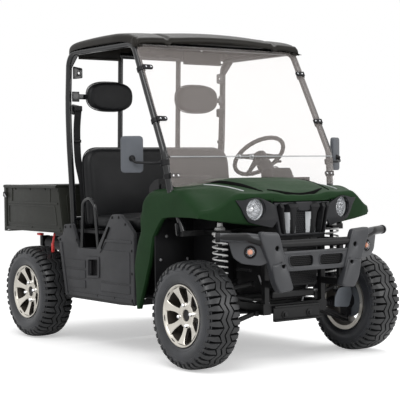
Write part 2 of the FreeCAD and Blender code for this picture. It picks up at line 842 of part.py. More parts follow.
def make_roof():
    """Moulded roof with a grooved top, a rolled front edge and a visor behind the seats."""
    span = S.roof_rear_y - S.roof_front_y
    shares = ((0, 1.0, 0), (0.12, 0.26, 0), (0.28, 0.05, 0), (0.48, 0, 0),
              (0.68, 0, 0.2), (0.84, 0, 0.5), (1, 0, 1))
    stations = [(S.roof_front_y + span * share,
                 roof_section(S.roof_front_drop * front + S.roof_rear_drop * rear))
                for share, front, rear in shares]
    skin = loft("roof_skin_body", "XZ", stations)
    tube_top = S.cage_top_z + S.cage_radius + S.seat_gap
    shoulder = S.cage_top_z + S.roof_rise
    pads = []
    for side, word in ((1, "left"), (-1, "right")):
        for spot, y, sink in (("front", -200, 5), ("rear", S.cage_rear_y - 52, 18)):
            x = side * (S.roof_half_width - 40)
            pads.append(box(f"roof_pad_{spot}_{word}", (x - 12, y, tube_top), (x + 12, y + 40, shoulder - sink)))
        near = S.inner_bar_x + 24 if side > 0 else -S.cage_rear_x + 24
        visor_y = S.cage_rear_y - S.cage_radius - 9
        pads.append(box(f"rear_visor_{word}", (near, visor_y, S.cage_top_z - 34),
                        (near + (S.cage_rear_x - S.inner_bar_x - 48), visor_y + 6, shoulder - 16)))
    return node(fuse("roof_solid", [skin] + pads), "roof")


def make_windshield():
    """Two clear panes ahead of the pillars: a leaning upper pane and an upright lower one."""
    run_y = S.pillar_top_y - S.pillar_bend_y
    run_z = S.cage_top_z - S.pillar_bend_z
    lean = math.degrees(math.atan2(float(run_y), float(run_z)))
    stand = S.cage_radius + S.pane_standoff
    ahead = float(stand) / math.cos(math.radians(lean))
    fold_y = S.pillar_bend_y - ahead + (S.pane_fold_z - S.pillar_bend_z) * (run_y / run_z)
    reach = float(S.pane_top_z - S.pane_fold_z) / math.cos(math.radians(lean))
    wide = S.pane_half_width
    upper_outline = [(-wide, 6), (wide, 6), (wide, reach, 60), (-wide, reach, 60)]
    upper = plate("windshield_upper_pane", "XZ", [upper_outline], -S.pane_thickness, 0)
    place(upper, (0, fold_y, S.pane_fold_z), (1, 0, 0), -lean)
    drop = S.pane_fold_z - S.pane_foot_z
    lower_outline = [(-wide, -drop, 40), (wide, -drop, 40), (wide, -4), (-wide, -4)]
    lower = plate("windshield_lower_pane", "XZ", [lower_outline], -S.pane_thickness, 0)
    place(lower, (0, fold_y, S.pane_fold_z), (1, 0, 0), -8)
    node(group("windshield_panes", [upper, lower]), "windshield")
    rings = []
    radius = stand - S.seat_gap
    for i, height in enumerate((1618, 1325, 1020)):
        low, high = (PILLAR[2], PILLAR[3]) if height > float(S.pillar_bend_z) else (PILLAR[1], PILLAR[2])
        share = (height - float(low[2])) / (float(high[2]) - float(low[2]))
        centre = [float(a) + share * (float(b) - float(a)) for a, b in zip(low, high)]
        along = Vector(*[float(b) - float(a) for a, b in zip(low, high)]).normalize() * 14
        ends = [[c + sign * step for c, step in zip(centre, along)] for sign in (-1, 1)]
        rings.append(rod(f"clamp_ring_{i}", ends[0], ends[1], radius))
    rings.append(box("clamp_pad", (564, fold_y - 20, 1008), (586, fold_y + 8, 1032)))
    holders = group("clamp_holders", [DOC.getObject("cage_left_tube"), lower])
    trimmed = [cut("clamp_trim", fuse("clamp_solid", rings), holders)]
    return node(both_sides("windshield_clamp_set", group("clamps_left", trimmed)), "windshield_clamps")


# Body panels

NOSE_PLAN = [
    (0, S.hood_front_y),
    (110, S.hood_front_y + 3),
    (205, S.hood_front_y + 10),
    (300, S.hood_front_y + 23),
    (400, S.hood_front_y + 42),
    (S.body_half_width - 100, S.hood_front_y + 66),
    (S.body_half_width - 40, S.hood_front_y + 90),
    (S.body_half_width, S.hood_front_y + 128),
]


def nose_trim(name):
    """A block ahead of the nose's plan curve, to trim skins that run out over it."""
    ahead = S.hood_front_y - 120
    wide = S.body_half_width + 60
    half_left = [(x, y) for x, y in NOSE_PLAN]
    half_right = [(-x, y) for x, y in NOSE_PLAN[:0:-1]]
    back = NOSE_PLAN[-1][1]
    outline = half_right + half_left + [(wide, back), (wide, ahead), (-wide, ahead), (-wide, back)]
    return plate(name, "XY", [outline[::-1]], S.nose_bottom - 60, S.hood_crest_z + 40)


def lamp_hole(name):
    return rod(name, (S.lamp_x, S.lamp_y - 100, S.lamp_z), (S.lamp_x, S.front_axle_y, S.lamp_z),
               S.lamp_radius + S.seat_gap)


def fender_section(edge, outer):
    """Cross-section of a fender's top skin, from the hood's seam to the rounded outer shoulder."""
    near = S.hood_half_width
    wide = S.body_half_width
    middle = (edge + outer) / 2
    top = [(near, edge), (near + 120, middle + 3), (wide - 60, outer + 1), (wide - 15, outer - 13),
           (wide, outer - 44)]
    under = [(near, edge - S.skin), (near + 120, middle + 3 - S.skin), (wide - 62, outer + 1 - S.skin),
             (wide - 15 - S.skin * 0.7, outer - 13 - S.skin * 0.8), (wide - S.skin, outer - 46)]
    return under + top[::-1]


def make_fender(side_word):
    """Front fender: side skin over the wheel arch, a rounded top skin and a nose skin round the headlight."""
    wide = S.body_half_width
    top = S.fender_top_z
    corner = S.fender_corner_y
    side_outline = [
        (-373, 279),
        (-362, 442),
        (-352, 497),
        (-387, 658),
        (-423, 707),
        (-417, 788),
        (-438, 840),
        (-478, 896),
        (-530, top - 40),
        (-868, top - 38),
        (corner + 14, top - 66),
        (corner + 60, S.nose_bottom + 12),
        (-641, 796, 40),
        (-534, 682, 60),
        (-460, 448),
        (-385, 279),
    ]
    side = plate(f"fender_side_{side_word}", "YZ", [side_outline], wide - S.skin, wide)
    stations = (
        (-530, fender_section(top + 10, top - 3)),
        (-700, fender_section(top + 14, top - 2)),
        (-868, fender_section(top + 2, top)),
        (-1000, fender_section(top - 14, top - 20)),
        (S.hood_front_y - 10, fender_section(top - 30, top - 46)),
    )
    skin = loft(f"fender_top_{side_word}", "XZ", stations)
    noses = []
    for word, front, nose_top in (("inner", NOSE_PLAN[3:7], top - 30), ("outer", NOSE_PLAN[5:], top - 60)):
        back = [(x - (S.skin if i == len(front) - 1 else 0), y + S.skin + 2) for i, (x, y) in enumerate(front)]
        outline = front + back[::-1]
        noses.append(plate(f"fender_nose_{word}_{side_word}", "XY", [outline], S.nose_bottom, nose_top))
    shell = fuse(f"fender_{side_word}_solid", [side, skin] + noses)
    pillar_hole = bent_tube("pillar_hole", PILLAR[:3], S.cage_radius + S.seat_gap, S.cage_bend)
    holes = group("fender_holes", [pillar_hole, lamp_hole("fender_lamp_hole"), nose_trim("fender_nose_trim")])
    return cut(f"fender_{side_word}_trim", shell, holes)


def make_fenders():
    left = make_fender("left")
    return node(both_sides("fender_pair", left), "fenders")


def hood_section(edge, ridge, middle):
    """Cross-section of the hood skin between its two side seams."""
    wide = S.hood_half_width - S.seat_gap * 2
    half = [(wide, edge), (wide * 0.66, ridge), (wide * 0.33, (ridge + middle) / 2 + 2), (0, middle)]
    top = [(-x, z) for x, z in half] + half[-2::-1]
    under = [(x, z - S.skin) for x, z in top]
    return under + top[::-1]


def make_hood():
    """Hood: a crowned skin that dips to a smile over the grille and rises to the foot of the windshield."""
    crest = S.hood_crest_z
    top = S.fender_top_z
    stations = (
        (S.hood_front_y - 10, hood_section(top - 30, top - 26, crest - 100)),
        (S.hood_front_y + 70, hood_section(top - 18, top - 6, crest - 66)),
        (S.front_axle_y - 100, hood_section(top - 12, top + 8, crest - 40)),
        (S.front_axle_y, hood_section(top, top + 22, crest - 18)),
        (S.hood_rear_y - 80, hood_section(top + 10, top + 36, crest - 3)),
        (S.hood_rear_y, hood_section(top + 14, top + 38, crest)),
    )
    skin = loft("hood_skin_body", "XZ", stations)
    lip = plate("hood_lip", "XY", [[(205, S.hood_front_y + 10), (110, S.hood_front_y + 3), (0, S.hood_front_y),
                                    (-110, S.hood_front_y + 3), (-205, S.hood_front_y + 10),
                                    (-205, S.hood_front_y + 18), (205, S.hood_front_y + 18)]],
                S.grille_top + S.seat_gap, crest - 104)
    shell = fuse("hood_shell", [skin, lip])
    tools = group("hood_tools", [both_sides("hood_lamp_holes", lamp_hole("hood_lamp_hole")),
                                 nose_trim("hood_nose_trim")])
    return node(cut("hood_trim", shell, tools), "hood")


def make_grille():
    """Grille: a frame with upright slats over an open mouth, and an angular bezel beside each headlight."""
    wide = S.grille_half_width
    rim = 16
    outer = [(-wide + 30, S.grille_bottom), (wide - 30, S.grille_bottom),
             (wide, S.grille_top), (-wide, S.grille_top)]
    mouth = [(-wide + 30 + rim, S.grille_bottom + rim), (wide - 30 - rim, S.grille_bottom + rim),
             (wide - rim, S.grille_top - rim), (-wide + rim, S.grille_top - rim)]
    face = S.hood_front_y + 4
    back = face + S.grille_depth
    pieces = [plate("grille_frame", "XZ", [outer, mouth], face, back)]
    pitch = (2 * wide - 90) / S.slat_count
    for i in range(int(S.slat_count)):
        x = (i - (int(S.slat_count) - 1) / 2) * pitch
        pieces.append(box(f"grille_slat_{i}", (x - S.slat_width / 2, face + 6, S.grille_bottom + 4),
                          (x + S.slat_width / 2, back - 4, S.grille_top - 4)))
    for side, word in ((1, "left"), (-1, "right")):
        x = side * 110
        pieces.append(box(f"grille_stay_{word}", (x - 12, back - 4, S.grille_bottom - 8),
                          (x + 12, S.rail_front_y - S.seat_gap, S.grille_bottom + 4)))
        bezel = [(wide - 14, S.grille_top - 6), (wide + 44, S.grille_top - 16), (wide + 58, S.grille_top - 34),
                 (wide + 60, 812), (wide + 78, 776), (wide + 30, 742), (wide - 20, 752), (wide - 30, 790)]
        if side < 0:
            bezel = [(-x_out, z) for x_out, z in bezel]
        pieces.append(plate(f"lamp_bezel_{word}", "XZ", [bezel], face + 12, face + 26))
    grille = fuse("grille_body", pieces)
    holes = both_sides("grille_lamp_holes", lamp_hole("grille_lamp_hole"))
    blades = [DOC.getObject("fender_pair"), DOC.getObject("hood_trim")]
    return node(cut("grille_solid", grille, group("grille_tools", [holes] + blades)), "grille")


def make_headlights():
    """Round headlights: a turned bowl with a domed lens, one each side of the grille."""
    body = new_body("headlight_body")
    r = S.lamp_radius
    outline = [
        (0, 16),
        (0, -S.lamp_depth),
        (r * 0.45, -S.lamp_depth),
        (r, -24),
        (r, 0),
        (r * 0.6, 11),
    ]
    revolve(body, "headlight_bowl", "XY", outline, "V_Axis")
    place(body, (S.lamp_x, S.lamp_y, S.lamp_z), (1, 0, 0), 180)
    return node(both_sides("headlight_pair", body), "headlights")


def make_bumper():
    """Front bumper: a bent cross tube, two upright covers, a mesh plate and lamp wings."""
    y = S.bumper_tube_y
    route = [
        (S.bumper_end_x, S.bumper_end_y, S.bumper_end_z),
        (450, y + 15, S.bumper_end_z),
        (300, y, S.bumper_tube_z),
        (-300, y, S.bumper_tube_z),
        (-450, y + 15, S.bumper_end_z),
        (-S.bumper_end_x, S.bumper_end_y, S.bumper_end_z),
    ]
    tube = bent_tube("bumper_tube_sweep", route, S.bumper_tube_radius, 80)
    arms = []
    for side, word in ((1, "left"), (-1, "right")):
        x_low = side * S.rail_x - S.bulkhead_bar / 2
        arms.append(box(f"bumper_arm_high_{word}", (x_low, y, S.bumper_tube_z - 18),
                        (x_low + S.bulkhead_bar, S.rail_front_y - S.seat_gap, S.bumper_tube_z + 18)))
        arms.append(box(f"bumper_arm_low_{word}", (x_low, y, 420),
                        (x_low + S.bulkhead_bar, S.rail_front_y - S.seat_gap, 456)))
        arms.append(box(f"bumper_riser_{word}", (x_low, y, 420),
                        (x_low + S.bulkhead_bar, y + 30, S.bumper_tube_z)))
    frame = node(fuse("bumper_frame_solid", [tube] + arms), "bumper_frame")
    back = y - S.bumper_tube_radius - S.seat_gap
    upper_outline = [(236, 520), (336, 506), (414, 712, 12), (404, 728, 12), (292, 712, 14), (284, 700, 14)]
    lower_outline = [(207, 425, 12), (290, 406, 14), (326, 468), (346, 540), (244, 556)]
    hole_low = ("circle", 271, 548, 18)
    hole_high = ("circle", 305, 642, 20)
    upper = plate("bumper_upright_upper", "XZ", [upper_outline, hole_high, hole_low], S.bumper_front_y + 16, back)
    lower = plate("bumper_upright_lower", "XZ", [lower_outline, hole_low], S.bumper_front_y, back)
    upright = fuse("bumper_upright", [upper, lower])
    drill = rod("bumper_bore", (271, S.bumper_front_y - 5, 548), (271, back + 5, 548), 18)
    bore = both_sides("bumper_upright_bore", drill)
    trimmed = cut("bumper_upright_trim", both_sides("bumper_upright_pair", upright), bore)
    node(trimmed, "bumper_covers")
    mesh_outline = [(-200, 518), (200, 518), (233, 620), (-233, 620)]
    windows = [[(-180, 540, 20), (-20, 540, 20), (-20, 596, 20), (-190, 596, 20)],
               [(20, 540, 20), (180, 540, 20), (190, 596, 20), (20, 596, 20)]]
    face = y - S.seat_gap - S.mesh_thickness
    mesh = [plate("bumper_mesh_plate", "XZ", [mesh_outline] + windows, face, y - S.seat_gap)]
    for sign, word in ((1, "left"), (-1, "right")):
        for i in range(5):
            x = sign * (48 + 28 * i)
            mesh.append(box(f"mesh_bar_{word}_{i}", (x - 3, face + 3, 536), (x + 3, face + 8, 600)))
    wing_y = y + 10
    wing = plate("bumper_wing_plate", "XZ", [[(330, 560), (500, 585), (530, 690), (450, 700), (340, 662)]],
                 wing_y, wing_y + S.mesh_thickness)
    wings = cut("bumper_wing_trim", both_sides("bumper_wing_pair", wing), frame)
    skid = box("lower_front_plate", (-S.rail_x + 35, S.rail_front_y - 12, S.rail_bottom - 38),
               (S.rail_x - 35, S.rail_front_y - S.seat_gap, RAIL_TOP - 12))
    node(group("bumper_plate_set", [fuse("bumper_mesh", mesh), wings, skid]), "bumper_plates")
    lamp = rod("indicator_lamp", (415, wing_y - 26, 626), (415, wing_y - S.seat_gap, 626), 27)
    node(both_sides("indicator_pair", lamp), "indicator_lamps")
    return frame


# Cab

def on_column(distance):
    """A point on the steering column's line, a distance down from the steering wheel's centre."""
    tilt = math.radians(float(S.column_tilt))
    return (float(S.column_x),
            float(S.column_wheel_y) - math.sin(tilt) * float(distance),
            float(S.column_wheel_z) - math.cos(tilt) * float(distance))


COLUMN_JOINT = on_column(S.column_length)
LINK_END = (70.0, float(RACK_Y), float(RACK_Z + S.rack_radius))


def make_tub():
    """Footwell tub: floor, firewall, inner walls beside the front wheels and the arch rear walls."""
    wall = S.tub_wall
    inner = S.footwell_half_width
    wide = S.outrigger_reach
    top = S.dash_bottom
    low = S.floor_z - wall
    pieces = [
        box("tub_floor_front", (-inner, S.firewall_y, low), (inner, S.arch_rear_y, S.floor_z)),
        box("tub_floor_rear", (-wide, S.arch_rear_y, low), (wide, S.seat_base_front_y, S.floor_z)),
        box("tub_firewall", (-inner, S.firewall_y, low), (inner, S.firewall_y + wall, top)),
    ]
    for side, word in ((1, "left"), (-1, "right")):
        near = side * inner - (wall if side > 0 else 0)
        pieces.append(box(f"tub_side_{word}", (near, S.firewall_y, low), (near + wall, S.arch_rear_y, top)))
        low_x = side * inner - wall if side > 0 else -wide
        high_x = wide if side > 0 else side * inner + wall
        pieces.append(box(f"tub_arch_wall_{word}", (low_x, S.arch_rear_y, low),
                          (high_x, S.arch_rear_y + wall, top)))
    link_hole = rod("link_hole", COLUMN_JOINT, LINK_END, S.link_radius + 4)
    return node(cut("tub_trim", fuse("tub_solid", pieces), link_hole), "footwell_tub")


def make_dash():
    outline = [
        (S.dash_front_y, S.dash_bottom + S.seat_gap),
        (S.dash_rear_y + 30, S.dash_bottom + S.seat_gap),
        (S.dash_rear_y, S.dash_bottom + 90, 20),
        (S.dash_rear_y, S.dash_top - 40, 24),
        (S.dash_rear_y - 60, S.dash_top, 30),
        (S.dash_front_y + 24, S.dash_top),
        (S.dash_front_y + 24, S.fender_top_z - 30),
        (S.dash_front_y, S.fender_top_z - 30),
    ]
    dash = plate("dash_moulding", "YZ", [outline], -S.dash_half_width, S.dash_half_width)
    pod = plate("instrument_pod", "YZ", [[(-530, S.dash_top - 10), (-432, S.dash_top - 40),
                                          (-428, 1040), (-440, 1060), (-520, 1060)]], 270, 400)
    bump = plate("passenger_bump", "YZ", [[(S.dash_front_y + 30, S.dash_top - 10), (S.dash_rear_y - 40, S.dash_top - 10),
                                           (S.dash_rear_y - 60, S.dash_top + 20, 14), (S.dash_front_y + 50, S.dash_top + 20, 14)]],
                 -S.dash_half_width + 60, -160)
    bin_hole = box("glove_hole", (-S.dash_half_width + 90, S.dash_rear_y - 60, S.dash_bottom + 110),
                   (-150, S.dash_rear_y + 5, S.dash_top - 50))
    hole = rod("dash_column_hole", on_column(0), on_column(S.column_length + 60), S.column_radius + 3)
    return node(cut("dash_trim", fuse("dash_solid", [dash, pod, bump]), group("dash_holes", [hole, bin_hole])), "dash")


def make_seat():
    """Seat base with a bench cushion, a leaning backrest, hip rails and two headrests."""
    wall = S.seat_base_wall
    front = S.seat_base_front_y
    rear = S.seat_base_rear_y
    top = S.seat_base_top
    low = RAIL_TOP + S.seat_gap
    wide = S.outrigger_reach - S.seat_gap
    outline = [
        (front + S.seat_gap, low),
        (front + wall, low),
        (front + wall, top - wall),
        (rear - wall, top - wall),
        (rear - wall, low),
        (rear, low),
        (rear, top),
        (front + S.seat_gap, top),
    ]
    node(plate("seat_base_shell", "YZ", [outline], -wide, wide), "seat_base")
    half = S.seat_half_width
    low_z = top + S.seat_gap
    high_z = top + S.cushion_height
    cushion = [(S.cushion_front_y, low_z, 20), (200, low_z), (215, high_z, 15), (S.cushion_front_y, high_z, 40)]
    node(plate("seat_cushion_pad", "YZ", [cushion], -half, half), "seat_cushion")
    thick = S.backrest_thickness
    lean = 53
    height = S.backrest_top_z - low_z
    back = plate("seat_back_pad", "XZ", [[(-half, 0, 20), (half, 0, 20), (half, height, 90), (-half, height, 90)]],
                 -thick / 2, thick / 2)
    place(back, (0, 264, low_z + 5), (1, 0, 0), -math.degrees(math.atan2(lean, float(height))))
    node(back, "seat_back")
    head = plate("headrest_pad", "XZ",
                 [[(-S.headrest_width / 2, -S.headrest_height / 2, 80), (S.headrest_width / 2, -S.headrest_height / 2, 80),
                   (S.headrest_width / 2, S.headrest_height / 2, 80), (-S.headrest_width / 2, S.headrest_height / 2, 80)]],
                 -S.headrest_thickness / 2, S.headrest_thickness / 2)
    place(head, (S.headrest_x, HEADREST_BACK_Y - S.headrest_thickness / 2 - S.seat_gap, S.headrest_z))
    node(both_sides("headrest_pair", head), "headrests")
    x = S.body_half_width - 15
    rail = bent_tube("hip_rail", [(x, 258, S.panel_notch_z - 4), (x, 240, 870), (x, 160, 892),
                                  (x, 110, 850), (x, 68, S.panel_notch_z - 4)], 10, 40)
    return rail


def make_side_panels():
    wide = S.body_half_width
    notch = S.panel_notch_z
    hump = S.panel_hump_z
    low = S.panel_bottom
    outline = [
        (-335, low),
        (433, low),
        (511, 616),
        (545, 640),
        (452, 668),
        (452, 728),
        (359, 735),
        (286, notch),
        (48, notch, 20),
        (-100, hump - 4, 20),
        (-185, hump, 20),
        (-277, 750, 20),
        (-335, 695, 20),
    ]
    window = [(51, 437), (161, 430), (159, 526), (48, 532)]
    skin = plate("side_panel_skin", "YZ", [outline, window], wide - S.panel_thickness + S.seat_gap, wide)
    frame_outline = [(39, 427), (173, 418), (171, 537), (36, 544)]
    frame = plate("side_window_frame", "YZ", [frame_outline, window], wide - 8, wide + 5)
    ridge = plate("side_panel_ridge", "YZ", [[(407, 300), (433, 292), (505, 610), (478, 622)]], wide - 8, wide + 7)
    brow = plate("side_panel_brow", "YZ", [[(-330, 640), (40, 560), (48, 574), (-330, 660)]], wide - 8, wide + 4)
    shelf = box("side_inner_box", (wide - 120, 60, notch - 26), (wide - S.panel_thickness / 2, 250, notch))
    panel = fuse("side_panel_left", [skin, frame, ridge, brow, shelf])
    node(both_sides("side_panel_pair", panel), "side_panels")
    trimmed = cut("hip_rail_trim", DOC.getObject("hip_rail"), panel)
    node(both_sides("hip_rail_pair", trimmed), "hip_rails")


def make_mirrors():
    head = plate("mirror_head", "XZ", [[(-S.mirror_width / 2, -S.mirror_height / 2, 25),
                                        (S.mirror_width / 2, -S.mirror_height / 2, 25),
                                        (S.mirror_width / 2, S.mirror_height / 2, 25),
                                        (-S.mirror_width / 2, S.mirror_height / 2, 25)]],
                 -S.mirror_depth / 2, S.mirror_depth / 2)
    place(head, (S.mirror_x, S.mirror_y, S.mirror_z), (0, 0, 1), S.mirror_toe)
    stem = bent_tube("mirror_stem", [(S.pillar_bend_x, S.pillar_bend_y - 5, 1110), (650, -650, 1100),
                                     (700, -600, 1120), (S.mirror_x - 2, S.mirror_y - 2, S.mirror_z)], 7, 40)
    trimmed = cut("mirror_stem_trim", stem, DOC.getObject("cage_left_tube"))
    return node(both_sides("mirror_pair", fuse("mirror_left", [head, trimmed])), "mirrors")


# Steering and running gear

def make_steering():
    rim = new_body("steering_rim")
    tube = S.wheel_rim_tube
    ring = S.wheel_rim_radius
    flat = tube * 0.42
    section = [(ring - tube, -flat), (ring - flat, -tube), (ring + flat, -tube), (ring + tube, -flat),
               (ring + tube, flat), (ring + flat, tube), (ring - flat, tube), (ring - tube, flat)]
    revolve(rim, "steering_rim_ring", "XZ", section, "V_Axis")
    hub = plate("steering_hub", "XY", [("circle", 0, 0, 42)], -26, 6)
    spokes = []
    for i, angle in enumerate((0, 180, 270)):
        spoke = plate(f"steering_spoke_{i}", "XY", [[(30, -14), (ring, -10), (ring, 10), (30, 14)]], -8, 2)
        place(spoke, (0, 0, 0), (0, 0, 1), angle)
        spokes.append(spoke)
    shaft = plate("steering_shaft", "XY", [("circle", 0, 0, 12)], -60, -20)
    wheel = fuse("steering_wheel_solid", [rim, hub, shaft] + spokes)
    place(wheel, (S.column_x, S.column_wheel_y, S.column_wheel_z), (1, 0, 0), -S.column_tilt)
    node(wheel, "steering_wheel")
    column = rod("column_tube", on_column(60.3), COLUMN_JOINT, S.column_radius)
    link = rod("column_link", COLUMN_JOINT, LINK_END, S.link_radius)
    rail_edge = S.rail_x + S.rail_width / 2
    housing = rod("rack_housing", (-rail_edge, RACK_Y, RACK_Z), (rail_edge, RACK_Y, RACK_Z),
                  S.rack_radius + S.rack_wall)
    bore = rod("rack_bore", (-rail_edge - 20, RACK_Y, RACK_Z), (rail_edge + 20, RACK_Y, RACK_Z),
               S.rack_radius + S.shaft_gap)
    body = cut("column_solid", fuse("column_parts", [column, link, housing]), bore)
    node(body, "steering_column")
    rack_end = rail_edge + S.rack_travel + 15
    bars = [rod("rack_bar", (-rack_end, RACK_Y, RACK_Z), (rack_end, RACK_Y, RACK_Z), S.rack_radius)]
    for side, word in ((1, "left"), (-1, "right")):
        bars.append(rod(f"tie_rod_{word}", (side * (rack_end - 8), RACK_Y, RACK_Z),
                        (side * (S.kingpin_x - 15), RACK_Y, RACK_Z + 10), 8))
        bars.append(rod(f"tie_end_{word}", (side * (S.kingpin_x - 10), RACK_Y, RACK_Z),
                        (side * (S.kingpin_x - 10), RACK_Y, RACK_Z + 18), 13))
    node(fuse("tie_rods_solid", bars), "tie_rods")


def make_knuckle(side, word):
    """Front knuckle: an upright between the ball joints, a spindle, a brake cover and a steering arm."""
    half = S.ball_joint_half_height
    king = side * S.kingpin_x
    y = S.front_axle_y
    spindle_end = side * (S.half_track + S.rim_width / 2 - S.hub_recess - 8)
    hub_back = side * (S.half_track + S.rim_width / 2 - S.hub_recess - S.hub_length - S.seat_gap)
    arm_low = RACK_Z - 18
    pieces = [
        box(f"knuckle_upright_{word}", (king - 18, y - 26, AXLE_Z - half), (king + 18, y + 26, AXLE_Z + half)),
        rod(f"knuckle_hub_{word}", (king, y, AXLE_Z), (hub_back, y, AXLE_Z), 44),
        rod(f"brake_cover_{word}", (king + side * 30, y, AXLE_Z), (king + side * 40, y, AXLE_Z), 95),
        rod(f"knuckle_spindle_{word}", (king, y, AXLE_Z), (spindle_end, y, AXLE_Z), S.hub_bore - S.shaft_gap),
        box(f"knuckle_arm_{word}", (king - 14 - side * 6, y, arm_low), (king + 14 - side * 6, RACK_Y + 12, RACK_Z - S.seat_gap)),
    ]
    return node(fuse(f"knuckle_{word}_solid", pieces), f"front_{word}_knuckle")


def make_front_arms():
    """Upper and lower arms: two legs from frame pivots to a boss over or under the knuckle."""
    half = S.ball_joint_half_height
    arms = []
    for level, boss_low, boss_high, inner_z, spread in (
            ("lower", AXLE_Z - half - 36, AXLE_Z - half - S.seat_gap, S.rail_bottom + 8, 86),
            ("upper", AXLE_Z + half + S.seat_gap, AXLE_Z + half + 36, AXLE_Z + half + 66, 70)):
        king = (S.kingpin_x, S.front_axle_y)
        pieces = [rod(f"{level}_arm_boss", (king[0], king[1], boss_low), (king[0], king[1], boss_high), S.arm_boss_radius)]
        leg_z = boss_low + 14 if level == "lower" else boss_high - 14
        if level == "upper":
            x = S.shock_tower_x
            pieces.append(box("shock_seat", (x - 15, S.front_axle_y - 36, S.front_shock_bottom - 14),
                              (x + 15, S.front_axle_y + 36, S.front_shock_bottom - S.seat_gap)))
        for word, turn in (("front", -1), ("rear", 1)):
            pivot_y = S.front_axle_y + turn * spread
            pieces.append(rod(f"{level}_arm_leg_{word}",
                              (S.kingpin_x - 6, S.front_axle_y + turn * 6, leg_z),
                              (S.arm_pivot_x, pivot_y, inner_z), S.arm_tube_radius))
            pieces.append(rod(f"{level}_arm_eye_{word}", (S.arm_pivot_x, pivot_y - 25, inner_z),
                              (S.arm_pivot_x, pivot_y + 25, inner_z), S.arm_tube_radius + 1))
        arms.append(fuse(f"{level}_arm", pieces))
    mirrored = [mirror(f"{arm.Name}_right", arm) for arm in arms]
    return node(group("front_arm_set", arms + mirrored), "front_arms")


def shock(name, length, turns):
    """A coil-over shock standing on its lower eye: damper, a ridge for each coil turn and the spring cups."""
    body = new_body(name)
    r = S.shock_radius
    low = 38
    pitch = (length - 78 - low) / turns
    outline = [(0, 0), (14, 0), (14, 22), (r, 28), (r, low - 4), (r - 13, low)]
    for i in range(turns):
        z = pitch * i + low
        outline += [(r - 13, z + pitch * 0.2), (r - 2, z + pitch * 0.34), (r - 2, z + pitch * 0.66), (r - 13, z + pitch * 0.8)]
    top = length - 76
    outline += [(r - 13, top), (r - 2, top + 4), (r - 2, top + 12), (26, top + 16),
                (26, length - 14), (14, length - 14), (14, length), (0, length)]
    revolve(body, f"{name}_turned", "XZ", outline, "V_Axis")
    return body


def make_shocks():
    low = S.front_shock_bottom
    high = S.bulkhead_top - 14 - S.seat_gap
    front = shock("front_shock", high - low, 5)
    place(front, (S.shock_tower_x, S.front_axle_y, low))
    pairs = [both_sides("front_shock_pair", front)]
    rear_low = AXLE_Z + S.rear_axle_radius + S.seat_gap
    rear_high = S.bed_rail_top - S.bed_rail_height - S.seat_gap
    rear = shock("rear_shock", rear_high - rear_low, 4)
    place(rear, (S.bed_rail_x, REAR_AXLE_Y, rear_low))
    pairs.append(both_sides("rear_shock_pair", rear))
    node(group("shock_set", pairs), "shocks")


def make_rear_axle():
    """Rear axle: tube with a differential housing, hub stubs and two trailing arms."""
    spindle_end = S.half_track + S.rim_width / 2 - S.hub_recess - 8
    hub_back = S.half_track + S.rim_width / 2 - S.hub_recess - S.hub_length - S.seat_gap
    y = REAR_AXLE_Y
    pieces = [
        rod("axle_tube", (-hub_back, y, AXLE_Z), (hub_back, y, AXLE_Z), S.rear_axle_radius),
        rod("axle_spindle", (-spindle_end, y, AXLE_Z), (spindle_end, y, AXLE_Z), S.hub_bore - S.shaft_gap),
        rod("axle_differential", (-20, y, AXLE_Z), (130, y, AXLE_Z), 92),
    ]
    for side, word in ((1, "left"), (-1, "right")):
        pieces.append(rod(f"trailing_arm_{word}", (side * 300, y, AXLE_Z),
                          (side * 300, S.cage_rear_foot_y + S.cross_width / 2 + S.seat_gap, AXLE_Z), 20))
    return node(fuse("rear_axle_solid", pieces), "rear_axle")


def make_engine():
    low = RAIL_TOP + S.seat_gap
    block = box("engine_block", (-S.engine_half_width, -120, low),
                (S.engine_half_width, S.engine_length - 120, S.engine_top))
    return node(group("engine_set", [block, make_exhaust()]), "engine")


def make_exhaust():
    """Silencer under the bed's right side, hung from the frame's rear post."""
    x = -S.bed_rail_x - 105
    can = rod("exhaust_can", (x, 880, 578), (x, 1078, 578), 46)
    tail = rod("exhaust_tail", (x, 1070, 578), (x, 1128, 578), 18)
    hanger = box("exhaust_hanger", (x, 1058, 560), (-S.bed_rail_x - S.bed_rail_width / 2 - S.seat_gap, 1070, 596))
    strap = box("exhaust_strap", (-S.bed_rail_x - S.bed_rail_width / 2 - 12, 1060, 560),
                (-S.bed_rail_x - S.bed_rail_width / 2 - S.seat_gap, S.bed_post_rear_y + 20, 596))
    return fuse("exhaust_solid", [can, tail, hanger, strap])


# Cargo bed

